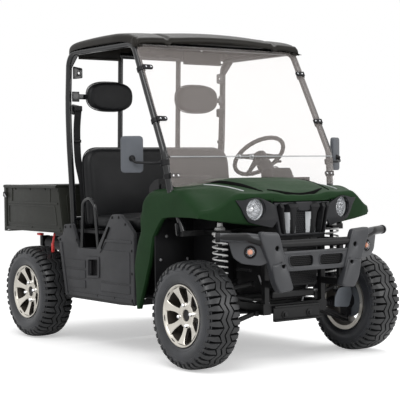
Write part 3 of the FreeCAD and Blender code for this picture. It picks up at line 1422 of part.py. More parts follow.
def make_bed():
    """Tilting tub: floor, leaning front wall, side walls with rolled top rails, open at the gate."""
    wide = S.bed_half_width
    wall = S.bed_wall
    top = S.bed_top_z
    low = S.bed_floor_z
    front = S.bed_front_y
    rear = S.bed_rear_y
    side = [(front, low), (rear, low), (rear, top), (S.bed_front_top_y, top)]
    pieces = []
    for sign, word in ((1, "left"), (-1, "right")):
        x_low = wide - wall if sign > 0 else -wide
        pieces.append(plate(f"bed_side_{word}", "YZ", [side], x_low, x_low + wall))
        x_rail = wide - S.bed_rail_lip if sign > 0 else -wide
        pieces.append(box(f"bed_rail_top_{word}", (x_rail, S.bed_front_top_y, top - S.bed_rail_lip),
                          (x_rail + S.bed_rail_lip, S.gate_y - S.gate_gap, top)))
        lip = [wide - 2, wide + 6] if sign > 0 else [-wide - 6, -wide + 2]
        pieces.append(box(f"bed_rail_lip_{word}", (lip[0], S.bed_front_top_y + 20, top - 26),
                          (lip[1], S.gate_y - S.gate_gap, top - 4)))
        crease = [(S.bed_front_y + 52, low + 176), (rear - 60, low + 176), (rear - 60, low + 192), (S.bed_front_y + 55, low + 192)]
        pieces.append(plate(f"bed_crease_{word}", "YZ", [crease], lip[0], lip[1]))
        pieces.append(box(f"bed_corner_post_{word}", (lip[0], rear - 52, low + 4), (lip[1], rear - 22, top - 30)))
        pieces.append(box(f"bed_latch_{word}", (lip[0] - (0 if sign > 0 else 8), rear - 46, low + 216),
                          (lip[1] + (8 if sign > 0 else 0), rear - 8, low + 246)))
    inside = wide - wall / 2
    for sign, word in ((1, "left"), (-1, "right")):
        pieces.append(rod(f"gate_pin_{word}", (sign * (wide - wall / 2), GATE_PIVOT_Y, S.gate_pivot_z),
                          (sign * (wide - wall - S.gate_gap - 20), GATE_PIVOT_Y, S.gate_pivot_z), S.gate_pin_radius))
    floor = [(front, low), (S.gate_y - 11, low), (S.gate_y - 11, low + S.bed_floor_thickness),
             (front + 4, low + S.bed_floor_thickness)]
    pieces.append(plate("bed_floor", "YZ", [floor], -inside, inside))
    load_top = low + S.bed_floor_thickness + 4
    pieces.append(box("bed_load_panel", (-S.bed_half_width + 50, S.bed_front_top_y + 26, load_top - 8),
                      (S.bed_half_width - 50, S.gate_y - 20, load_top)))
    wall_outline = [(front, low), (front + wall, low), (S.bed_front_top_y + wall, top), (S.bed_front_top_y, top)]
    pieces.append(plate("bed_front_wall", "YZ", [wall_outline], -inside, inside))
    node(fuse("bed_tub_solid", pieces), "bed_tub")
    bars = []
    for sign, word in ((1, "left"), (-1, "right")):
        x_low = sign * S.bed_rail_x - 15
        bars.append(box(f"bed_channel_{word}", (x_low, front + 15, S.bed_rail_top + S.seat_gap),
                        (x_low + 30, S.bed_pivot_y + 20, low - S.seat_gap)))
        pin_low = sign * S.bed_rail_x - S.bed_rail_width / 2 - S.hinge_ear
        bars.append(rod(f"bed_pin_{word}", (pin_low, S.bed_pivot_y, S.bed_pivot_z),
                        (pin_low + S.bed_rail_width + 2 * S.hinge_ear, S.bed_pivot_y, S.bed_pivot_z), S.pivot_pin_radius))
    bars.append(box("bed_channel_cross", (-S.bed_rail_x, 700, S.bed_rail_top + 8), (S.bed_rail_x, 740, low - S.seat_gap)))
    node(fuse("bed_frame_solid", bars), "bed_frame")


def make_tailgate():
    half = S.bed_half_width - S.bed_wall - S.gate_gap
    panel = box("gate_panel", (-half, S.gate_y, S.gate_pivot_z - 8),
                (half, S.gate_y + S.gate_thickness, S.bed_top_z - 6))
    raised = box("gate_raised_panel", (-half + 90, S.gate_y + S.gate_thickness - 4, S.gate_pivot_z + 60),
                 (half - 90, S.gate_y + S.gate_thickness + 4, S.bed_top_z - 70))
    rail = box("gate_top_rail", (-half, S.gate_y - 4, S.bed_top_z - 30),
               (half, S.gate_y + S.gate_thickness + 6, S.bed_top_z - 6))
    bore = rod("gate_bore", (-half - 5, GATE_PIVOT_Y, S.gate_pivot_z), (-half + 22, GATE_PIVOT_Y, S.gate_pivot_z),
               S.gate_pin_radius + S.shaft_gap)
    gate = fuse("gate_body", [panel, raised, rail])
    return node(cut("gate_trim", gate, both_sides("gate_bores", bore)), "tailgate")


def make_all():
    for label, side, axle_y in WHEEL_CORNERS:
        make_tyre(label, side, axle_y)
        make_rim(label, side, axle_y)
    make_main_frame()
    make_front_frame()
    make_cage()
    make_roof()
    make_windshield()
    make_fenders()
    make_hood()
    make_grille()
    make_headlights()
    make_bumper()
    make_tub()
    make_dash()
    make_seat()
    make_side_panels()
    make_mirrors()
    make_steering()
    make_knuckle(1, "left")
    make_knuckle(-1, "right")
    make_front_arms()
    make_shocks()
    make_rear_axle()
    make_engine()
    make_bed()
    make_tailgate()


def check_document():
    """Stop if any object failed to build, or a sub-part's shape is missing or not valid."""
    DOC.recompute()
    faults = [f"{item.Name}: {item.State}" for item in DOC.Objects
              if any(word in item.State for word in ("Invalid", "Error"))]
    for item in NODES:
        if item.Shape.isNull() or not item.Shape.isValid() or not item.Shape.Solids:
            faults.append(f"{item.Label}: no valid shape")
    if faults:
        raise RuntimeError("; ".join(faults))


def write_parts():
    os.makedirs("parts", exist_ok=True)
    for item in NODES:
        item.Shape.exportStep(f"parts/{item.Label}.step")


make_all()
check_document()
write_parts()
print(len(NODES), "sub-parts")
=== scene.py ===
"""Looks of a side by side utility vehicle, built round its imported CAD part."""

from __future__ import annotations

import json
import logging
import math
from dataclasses import dataclass
from enum import Enum
from typing import Sequence

import bmesh
import bpy
import numpy as np
from mathutils import Matrix, Vector

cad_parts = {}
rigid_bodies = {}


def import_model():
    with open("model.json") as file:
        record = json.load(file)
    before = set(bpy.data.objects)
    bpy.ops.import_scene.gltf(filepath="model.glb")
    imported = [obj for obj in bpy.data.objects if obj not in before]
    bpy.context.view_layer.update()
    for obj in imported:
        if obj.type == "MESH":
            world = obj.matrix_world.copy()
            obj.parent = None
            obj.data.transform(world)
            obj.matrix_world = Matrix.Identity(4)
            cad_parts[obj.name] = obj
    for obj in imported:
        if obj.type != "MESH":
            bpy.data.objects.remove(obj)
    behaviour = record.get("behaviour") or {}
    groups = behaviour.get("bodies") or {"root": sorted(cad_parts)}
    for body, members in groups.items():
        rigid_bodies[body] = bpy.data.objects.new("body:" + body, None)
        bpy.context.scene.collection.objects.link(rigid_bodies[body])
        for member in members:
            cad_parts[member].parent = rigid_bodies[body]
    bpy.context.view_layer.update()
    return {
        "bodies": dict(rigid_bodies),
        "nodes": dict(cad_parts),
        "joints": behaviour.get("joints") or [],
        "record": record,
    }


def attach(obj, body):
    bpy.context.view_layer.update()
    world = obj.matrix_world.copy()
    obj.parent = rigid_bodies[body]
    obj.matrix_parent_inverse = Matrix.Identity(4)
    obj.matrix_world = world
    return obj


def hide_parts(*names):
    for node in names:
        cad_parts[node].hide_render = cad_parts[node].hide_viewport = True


LOG = logging.getLogger("utility_vehicle")
MM = 0.001
TURN = 2 * math.pi
QUARTER = math.pi / 2
CLEAR_WHITE = (1.0, 1.0, 1.0, 1.0)

# Shares of a side and of a run that a rounded corner and a bend may take
LONGEST_CORNER = 0.49
LONGEST_BEND = 0.45

# How finishes drift: ends of the tone ramp, swing of the gloss, and scales of the gloss and the wave
TONE_ENDS = (0.35, 0.65)
GLOSS_SWING = 0.07
GLOSS_SCALE = 5
WAVE_SCALE = 18.0

# Last frame of a pad's cloth run
LAST_FRAME = 20

Colour = tuple[float, float, float]
Faces = list[tuple[int, ...]]


class Side(Enum):
    """The two sides of the vehicle, as the sign of X."""

    LEFT = 1
    RIGHT = -1


# Finishes


class NodeBoard:
    """A node tree that starts empty, with short calls to add and join its nodes."""

    def __init__(self, owner: bpy.types.Material | bpy.types.World) -> None:
        """Take over the node tree of a material or a world.

        Args:
            owner: the material or world.
        """
        owner.use_nodes = True
        self.tree = owner.node_tree
        self.tree.nodes.clear()

    def add(self, kind: str, **settings: object) -> bpy.types.Node:
        """Add one node and set its own properties.

        Args:
            kind: Blender's name of the node type.
            settings: properties to set on the node.

        Returns:
            The new node.
        """
        node = self.tree.nodes.new(kind)
        for key, value in settings.items():
            setattr(node, key, value)
        return node

    def join(self, source: bpy.types.Node, out: str | int, target: bpy.types.Node, into: str | int) -> None:
        """Link an output of one node to an input of another."""
        self.tree.links.new(source.outputs[out], target.inputs[into])


class NodeSheet(NodeBoard):
    """A material that ends in one Principled shader, with its patterns on object coordinates."""

    def __init__(self, name: str) -> None:
        """Start a material.

        Args:
            name: its name.
        """
        self.material = bpy.data.materials.new(name)
        super().__init__(self.material)
        self.shader = self.add("ShaderNodeBsdfPrincipled")
        self.output = self.add("ShaderNodeOutputMaterial")
        self.join(self.shader, "BSDF", self.output, "Surface")
        self.place = self.add("ShaderNodeTexCoord")

    def noise(self, scale: float, detail: float) -> bpy.types.Node:
        """Noise on the object's own coordinates.

        Args:
            scale: cells a metre.
            detail: octaves of the noise.

        Returns:
            The noise node.
        """
        noise = self.add("ShaderNodeTexNoise")
        noise.inputs["Scale"].default_value = scale
        noise.inputs["Detail"].default_value = detail
        self.join(self.place, "Object", noise, "Vector")
        return noise

    def cells(self, scale: float) -> bpy.types.Node:
        """Distance to the edges of Voronoi cells, for grained skins.

        Args:
            scale: cells a metre.

        Returns:
            The Voronoi node.
        """
        cells = self.add("ShaderNodeTexVoronoi", feature="DISTANCE_TO_EDGE")
        cells.inputs["Scale"].default_value = scale
        self.join(self.place, "Object", cells, "Vector")
        return cells

    def ramp(self, source: bpy.types.Node, low: Colour, high: Colour) -> bpy.types.Node:
        """Turn a pattern into a colour that drifts from one tone to another.

        Args:
            source: the noise that gives the pattern.
            low: colour of its low parts.
            high: colour of its high parts.

        Returns:
            The ramp node.
        """
        ramp = self.add("ShaderNodeValToRGB")
        for element, place, colour in zip(ramp.color_ramp.elements, TONE_ENDS, (low, high)):
            element.position = place
            element.color = (*colour, 1.0)
        self.join(source, "Fac", ramp, "Fac")
        return ramp

    def spread(self, source: bpy.types.Node, low: float, high: float) -> bpy.types.Node:
        """Map a noise from 0 to 1 onto a range.

        Args:
            source: the noise.
            low: lowest value given back.
            high: highest value given back.

        Returns:
            The node that maps it.
        """
        spread = self.add("ShaderNodeMapRange")
        spread.inputs["To Min"].default_value = low
        spread.inputs["To Max"].default_value = high
        self.join(source, "Fac", spread, "Value")
        return spread

    def bump(self, source: bpy.types.Node, out: str | int, height: float,
             under: bpy.types.Node | None = None) -> bpy.types.Node:
        """Add a bump from a height pattern, over another bump if one is given.

        Args:
            source: the node that gives the pattern.
            out: its output.
            height: the pattern's real height in metres.
            under: the bump that this one lies on.

        Returns:
            The bump node.
        """
        bump = self.add("ShaderNodeBump")
        bump.inputs["Strength"].default_value = 1.0
        bump.inputs["Distance"].default_value = height
        self.join(source, out, bump, "Height")
        if under is not None:
            self.join(under, "Normal", bump, "Normal")
        return bump


@dataclass(frozen=True)
class Finish:
    """One surface finish: a base colour that drifts a little, a grain and a gloss."""

    name: str
    colour: Colour
    roughness: float = 0.5
    metallic: float = 0.0
    coat: float = 0.0
    coat_roughness: float = 0.1
    drift: float = 0.12
    drift_scale: float = 9.0
    grain_scale: float = 700.0
    grain_height: float = 0.00015
    wave_height: float = 0.0
    alpha: float = 1.0
    leathered: bool = False
    specular: float = 0.5

    def build(self) -> bpy.types.Material:
        """Make the material: colour drift, roughness drift and grain, all on object coordinates.

        Returns:
            The Blender material.
        """
        sheet = NodeSheet(self.name)
        shader = sheet.shader
        low = tuple(c * (1 - self.drift) for c in self.colour)
        high = tuple(min(1.0, c * (1 + self.drift)) for c in self.colour)
        tone = sheet.ramp(sheet.noise(self.drift_scale, detail=4.0), low, high)
        sheet.join(tone, "Color", shader, "Base Color")
        gloss = sheet.spread(sheet.noise(self.drift_scale * GLOSS_SCALE, detail=5.0),
                             max(0.02, self.roughness - GLOSS_SWING),
                             min(1.0, self.roughness + GLOSS_SWING))
        sheet.join(gloss, "Result", shader, "Roughness")
        for socket, value in (("Metallic", self.metallic), ("Coat Weight", self.coat),
                              ("Coat Roughness", self.coat_roughness), ("Alpha", self.alpha),
                              ("Specular IOR Level", self.specular)):
            shader.inputs[socket].default_value = value
        last = None
        if self.leathered:
            last = sheet.bump(sheet.cells(self.grain_scale), "Distance", self.grain_height)
        elif self.grain_height > 0:
            last = sheet.bump(sheet.noise(self.grain_scale, detail=6.0), "Fac", self.grain_height)
        if self.wave_height > 0:
            last = sheet.bump(sheet.noise(WAVE_SCALE, detail=2.0), "Fac", self.wave_height, last)
        if last is not None:
            sheet.join(last, "Normal", shader, "Normal")
        return sheet.material


class Paints:
    """All finishes of the vehicle, each made once and looked up by name."""

    GREEN = Finish("body_green_moulding", (0.0125, 0.0365, 0.0132), 0.5, drift=0.08, grain_scale=900,
                   grain_height=0.00006, wave_height=0.0006, specular=0.07)
    GRAPHITE = Finish("graphite_moulding", (0.0370, 0.0375, 0.0405), 0.46, drift=0.12, grain_scale=1100,
                      grain_height=0.00022, specular=0.26)
    BUMPER = Finish("bumper_moulding", (0.0400, 0.0415, 0.0460), 0.34, drift=0.1, grain_scale=1100,
                    grain_height=0.00012, specular=0.5)
    BEZEL = Finish("dark_bezel", (0.014, 0.0145, 0.017), 0.4, grain_scale=1000, grain_height=0.0001,
                   specular=0.3)
    BLACK = Finish("black_moulding", (0.007, 0.007, 0.008), 0.48, grain_scale=1000, grain_height=0.0002,
                   specular=0.25)
    # Near-black used as painted shade: slots, slits and holes are drawn as flat dark strips, blocks and
    # discs
    PAINTED_SHADE = Finish("slot_black", (0.001, 0.001, 0.001), 0.8, grain_height=0.0, specular=0.05)
    ROOF = Finish("roof_moulding", (0.0100, 0.0085, 0.0062), 0.44, grain_scale=900, grain_height=0.0001,
                  wave_height=0.0008, specular=0.22)
    CAGE = Finish("cage_powder_coat", (0.0055, 0.006, 0.007), 0.24, coat=0.25, grain_scale=500,
                  grain_height=0.00008, specular=0.45)
    FRAME = Finish("frame_powder_coat", (0.006, 0.006, 0.0065), 0.42, grain_scale=600, grain_height=0.0001,
                   specular=0.3)
    BED = Finish("bed_enamel", (0.0165, 0.0175, 0.0135), 0.42, grain_scale=450, grain_height=0.00006,
                 wave_height=0.0005, specular=0.3)
    VINYL = Finish("seat_vinyl", (0.0065, 0.0068, 0.0078), 0.42, leathered=True, grain_scale=420,
                   grain_height=0.00025, specular=0.22)
    TYRE = Finish("tyre_rubber", (0.0215, 0.0220, 0.0235), 0.38, drift=0.25, grain_scale=500,
                  grain_height=0.0002, specular=0.5)
    # Painted shade: the tread's groove floor, far darker than the rubber of the tread itself
    GROOVE_SHADE = Finish("tread_groove", (0.0010, 0.0010, 0.0011), 0.9, grain_scale=500, grain_height=0.0002,
                    specular=0.1)
    SIDEWALL = Finish("sidewall_rubber", (0.0240, 0.0255, 0.0300), 0.32, drift=0.2, drift_scale=14,
                      grain_scale=800, grain_height=0.00006, specular=0.5)
    ALLOY = Finish("machined_alloy", (0.66, 0.63, 0.57), 0.3, metallic=0.88, drift=0.05, grain_scale=900,
                   grain_height=0.00005)
    POCKET = Finish("rim_pocket_paint", (0.060, 0.052, 0.043), 0.45, metallic=0.4, drift=0.2)
    CHROME = Finish("chromed_metal", (0.75, 0.76, 0.78), 0.1, metallic=1.0, drift=0.04, grain_height=0.0)
    SPRING = Finish("spring_enamel", (0.80, 0.80, 0.79), 0.35, coat=0.3)
    STEEL = Finish("bare_steel", (0.42, 0.42, 0.43), 0.38, metallic=0.9, grain_scale=700)
    CASTING = Finish("cast_housing", (0.020, 0.020, 0.022), 0.55, metallic=0.3, grain_scale=600,
                     grain_height=0.0004, specular=0.3)
    CASTING_LIGHT = Finish("grey_guard", (0.14, 0.155, 0.175), 0.5, drift=0.1, grain_scale=600,
                           grain_height=0.0003)
    SILVER = Finish("silver_trim", (0.62, 0.64, 0.66), 0.34, metallic=0.35, coat=0.3)
    AMBER = Finish("amber_lens", (0.80, 0.22, 0.05), 0.15, coat=0.6, grain_height=0.0)
    RED = Finish("red_grip", (0.62, 0.03, 0.025), 0.35, coat=0.3)
    PANE = Finish("windshield_film", (0.93, 0.84, 0.80), 0.08, alpha=0.095, drift=0.03, grain_height=0.0,
                  specular=0.3)
    SEAM = Finish("polished_edge", (0.52, 0.53, 0.54), 0.2, alpha=0.6, grain_height=0.0)
    LENS = Finish("clear_lens", (0.93, 0.95, 0.97), 0.04, alpha=0.18, drift=0.0, grain_height=0.0, coat=1.0)
    MIRROR = Finish("mirror_glass", (0.72, 0.75, 0.78), 0.05, metallic=1.0, drift=0.0, grain_height=0.0)
    MIRROR_BACK = Finish("mirror_shell", (0.100, 0.108, 0.122), 0.5, drift=0.08, grain_scale=900,
                         grain_height=0.00015, specular=0.3)
    GRIP = Finish("wheel_grip", (0.012, 0.011, 0.011), 0.55, leathered=True, grain_scale=700,
                  grain_height=0.0002, specular=0.3)
    WEBBING = Finish("belt_webbing", (0.010, 0.010, 0.011), 0.7, grain_scale=900, grain_height=0.0004,
                     specular=0.2)

    def __init__(self) -> None:
        """Start with nothing made."""
        self.made: dict[str, bpy.types.Material] = {}

    def get(self, finish: Finish) -> bpy.types.Material:
        """Return a finish's material, made at its first use.

        Args:
            finish: the finish.

        Returns:
            Its material.
        """
        if finish.name not in self.made:
            self.made[finish.name] = finish.build()
        return self.made[finish.name]


PAINTS = Paints()


# Surfaces


def grid_faces(rows: int, columns: int, wrap_rows: bool = False, wrap_columns: bool = False) -> Faces:
    """Quads of a grid of points, row after row.

    Args:
        rows: number of rows of points.
        columns: number of points in a row.
        wrap_rows: join the last row to the first.
        wrap_columns: join each row's last point to its first.

    Returns:
        The faces as tuples of point indices.
    """
    down = np.arange(rows if wrap_rows else rows - 1)
    along = np.arange(columns if wrap_columns else columns - 1)
    row, column = np.meshgrid(down, along, indexing="ij")
    next_row, next_column = (row + 1) % rows, (column + 1) % columns
    corners = np.stack([row * columns + column, row * columns + next_column,
                        next_row * columns + next_column, next_row * columns + column], axis=-1)
    return [tuple(face) for face in corners.reshape(-1, 4).tolist()]


def tube_faces(rows: int, columns: int, closed: bool = False) -> Faces:
    """Faces of a tube of rings, with a flat end at each side unless it is closed on itself.

    Args:
        rows: number of rings.
        columns: number of points in a ring.
        closed: join the last ring to the first.

    Returns:
        The faces as tuples of point indices.
    """
    faces = grid_faces(rows, columns, wrap_rows=closed, wrap_columns=True)
    if not closed:
        faces += [tuple(range(columns))[::-1], tuple(range((rows - 1) * columns, rows * columns))]
    return faces


def smooth_share(share: np.ndarray) -> np.ndarray:
    """A share held between 0 and 1 that leaves both ends level."""
    held = np.clip(share, 0.0, 1.0)
    return held * held * (3 - 2 * held)


def spline_at(points: Sequence[Sequence[float]], place: np.ndarray) -> np.ndarray:
    """A Catmull-Rom curve read at places: each span is a cubic whose ends lean along the neighbours' chord.

    Args:
        points: the points that the curve passes through.
        place: places along the curve, where each whole number is a point.

    Returns:
        An array of places by dimensions.
    """
    knots = np.asarray(points, float)
    last = len(knots) - 1
    index = np.minimum(place.astype(int), last - 1)
    t = (place - index)[:, None]
    a, b, c, d = (knots[np.clip(index + step, 0, last)] for step in (-1, 0, 1, 2))
    cubic = (3 * b - a - 3 * c + d) * t ** 3
    return 0.5 * (2 * b + (c - a) * t + (2 * a - 5 * b + 4 * c - d) * t ** 2 + cubic)


def smooth_curve(points: Sequence[Sequence[float]], samples: int) -> np.ndarray:
    """A Catmull-Rom curve through points, read at evenly spaced places.

    Args:
        points: the points that the curve passes through.
        samples: number of points given back.

    Returns:
        An array of samples by dimensions.
    """
    return spline_at(points, np.linspace(0, len(points) - 1, samples))


def run_along(line: np.ndarray) -> np.ndarray:
    """Distance along a line at each of its points."""
    return np.concatenate([[0], np.cumsum(np.linalg.norm(np.diff(line, axis=0), axis=1))])


def rounded_outline(points: Sequence[Sequence[float]], radius: float | Sequence[float],
                    steps: int = 5) -> np.ndarray:
    """A closed outline whose corners are rounded by quadratic arcs from one side to the next.

    Args:
        points: corners in the plane.
        radius: how far from the corner each arc starts, one for all or one for each.
        steps: points in each arc.

    Returns:
        An array of points in the plane.
    """
    corner = np.asarray(points, float)
    reach = np.broadcast_to(np.asarray(radius, float), (len(corner),))[:, None]
    before, after = np.roll(corner, 1, axis=0) - corner, np.roll(corner, -1, axis=0) - corner
    length_before = np.linalg.norm(before, axis=1, keepdims=True)
    length_after = np.linalg.norm(after, axis=1, keepdims=True)
    start = corner + before / length_before * np.minimum(reach, LONGEST_CORNER * length_before)
    end = corner + after / length_after * np.minimum(reach, LONGEST_CORNER * length_after)
    t = np.linspace(0, 1, steps)[None, :, None]
    arcs = (1 - t) ** 2 * start[:, None] + 2 * t * (1 - t) * corner[:, None] + t ** 2 * end[:, None]
    return arcs.reshape(-1, 2)


def carried(profile: np.ndarray, path: np.ndarray, closed: bool = False,
            reference: Sequence[float] = (0, 0, 1), scale: np.ndarray | None = None) -> np.ndarray:
    """Carry a plane profile along a path, on two axes square to it at each point.

    Args:
        profile: points of the profile, as (across, up).
        path: points of the path.
        closed: the path is a ring.
        reference: the direction that the profile's second axis keeps nearest to.
        scale: factor on the profile for each point of the path.

    Returns:
        An array of path points by profile points by 3.
    """
    path = np.asarray(path, float)
    if closed:
        tangent = np.roll(path, -1, axis=0) - np.roll(path, 1, axis=0)
    else:
        tangent = np.gradient(path, axis=0)
    tangent /= np.linalg.norm(tangent, axis=1, keepdims=True)
    up = np.asarray(reference, float) - tangent * (tangent @ np.asarray(reference, float))[:, None]
    up /= np.linalg.norm(up, axis=1, keepdims=True)
    across = np.cross(tangent, up)
    factor = np.ones(len(path)) if scale is None else np.asarray(scale, float)
    return (path[:, None] + factor[:, None, None] * (across[:, None] * profile[None, :, :1]
                                                     + up[:, None] * profile[None, :, 1:]))


def circle(radius: float, count: int = 20) -> np.ndarray:
    """Points of a circle about the origin of the plane."""
    angle = np.linspace(0, TURN, count, endpoint=False)
    return np.stack([radius * np.cos(angle), radius * np.sin(angle)], axis=-1)


def bent_path(points: Sequence[Sequence[float]], bend: float, steps: int = 9) -> np.ndarray:
    """A route of straight runs whose corners are turned by arcs, as a bent tube's centre line.

    Args:
        points: the route's corners.
        bend: radius of the bends.
        steps: points in each bend.

    Returns:
        An array of points along the route.
    """
    route = np.asarray(points, float)
    back, ahead = route[:-2] - route[1:-1], route[2:] - route[1:-1]
    length_back = np.linalg.norm(back, axis=1, keepdims=True)
    length_ahead = np.linalg.norm(ahead, axis=1, keepdims=True)
    back, ahead = back / length_back, ahead / length_ahead
    half = np.arccos(np.clip((back * ahead).sum(1, keepdims=True), -1, 1)) / 2
    setback = np.minimum(bend / np.tan(half), LONGEST_BEND * np.minimum(length_back, length_ahead))
    radius = setback * np.tan(half)
    inward = back + ahead
    inward /= np.linalg.norm(inward, axis=1, keepdims=True)
    centre = route[1:-1] + inward * radius / np.sin(half)
    start = route[1:-1] + back * setback - centre
    end = route[1:-1] + ahead * setback - centre
    sweep = math.pi - 2 * half
    t = np.linspace(0, 1, steps)[None, :, None]
    sweep = sweep[:, None]
    arcs = (start[:, None] * np.sin((1 - t) * sweep) + end[:, None] * np.sin(t * sweep)) / np.sin(sweep)
    middle = (centre[:, None] + arcs).reshape(-1, 3)
    return np.vstack([route[:1], middle, route[-1:]])


def rectangle(half_u: float, half_v: float, centre: Sequence[float] = (0, 0)) -> np.ndarray:
    """The four corners of a rectangle, anticlockwise from its lowest."""
    return np.array([(-half_u, -half_v), (half_u, -half_v), (half_u, half_v), (-half_u, half_v)]) + centre


def block_rings(size: Sequence[float], radius: float, steps: int = 4) -> np.ndarray:
    """Rings of a block with rounded edges: rectangles that draw in by a quarter circle at both ends.

    Args:
        size: full width, depth and height.
        radius: radius of the edges.
        steps: points in each quarter circle.

    Returns:
        An array of rings by points by 3 about the origin.
    """
    width, depth, height = size
    turn = np.linspace(0, QUARTER, steps)
    inset, lift = radius * (1 - np.sin(turn)), radius * (1 - np.cos(turn))
    insets = np.concatenate([inset, inset[::-1]])
    levels = np.concatenate([-height / 2 + lift, height / 2 - lift[::-1]])
    corner_radius, least = radius * 1.2, 0.05
    rings = []
    for pull, level in zip(insets, levels):
        corners = rectangle(width / 2 - pull, depth / 2 - pull)
        ring = rounded_outline(corners, max(corner_radius - pull, least), steps)
        rings.append(np.column_stack([ring, np.full(len(ring), level)]))
    return np.array(rings)


def axes_of(u: Sequence[float], v: Sequence[float]) -> np.ndarray:
    """Three unit axes as rows, square to each other.

    Args:
        u: direction of the first axis.
        v: direction that the second axis leans to.

    Returns:
        The axes.
    """
    first = np.asarray(u, float) / np.linalg.norm(u)
    second = np.asarray(v, float) - first * np.dot(first, v)
    second /= np.linalg.norm(second)
    return np.array([first, second, np.cross(first, second)])


ALONG_FRAME = np.eye(3)
FACING_FRONT = axes_of((1, 0, 0), (0, 0, 1))
FACING_LEFT = axes_of((0, 1, 0), (0, 0, 1))


def cut_sheet(outlines: Sequence[Sequence[Sequence[float]]], half: float, bevel: float,
              steps: int = 2) -> tuple[np.ndarray, Faces]:
    """A flat sheet with holes: outlines filled as one flat curve, with a thickness and rounded edges.

    Args:
        outlines: the outer outline and the holes, in the sheet's plane.
        half: half of the thickness.
        bevel: radius of the rounded edges.
        steps: segments of the rounded edges.

    Returns:
        The points as (u, v, w) and the faces.
    """
    data = bpy.data.curves.new("sheet_outline", "CURVE")
    data.dimensions, data.fill_mode = "2D", "BOTH"
    data.extrude, data.bevel_depth, data.bevel_resolution, data.offset = half - bevel, bevel, steps, -bevel
    for outline in outlines:
        line = np.asarray(outline, float)
        spline = data.splines.new("POLY")
        spline.points.add(len(line) - 1)
        flat = np.column_stack([line, np.zeros(len(line)), np.ones(len(line))])
        spline.points.foreach_set("co", flat.ravel())
        spline.use_cyclic_u = True
    holder = bpy.data.objects.new("sheet_outline", data)
    mesh = bpy.data.meshes.new_from_object(holder)
    points = points_of(mesh)
    faces = [tuple(face.vertices) for face in mesh.polygons]
    bpy.data.objects.remove(holder)
    bpy.data.curves.remove(data)
    bpy.data.meshes.remove(mesh)
    return points, faces


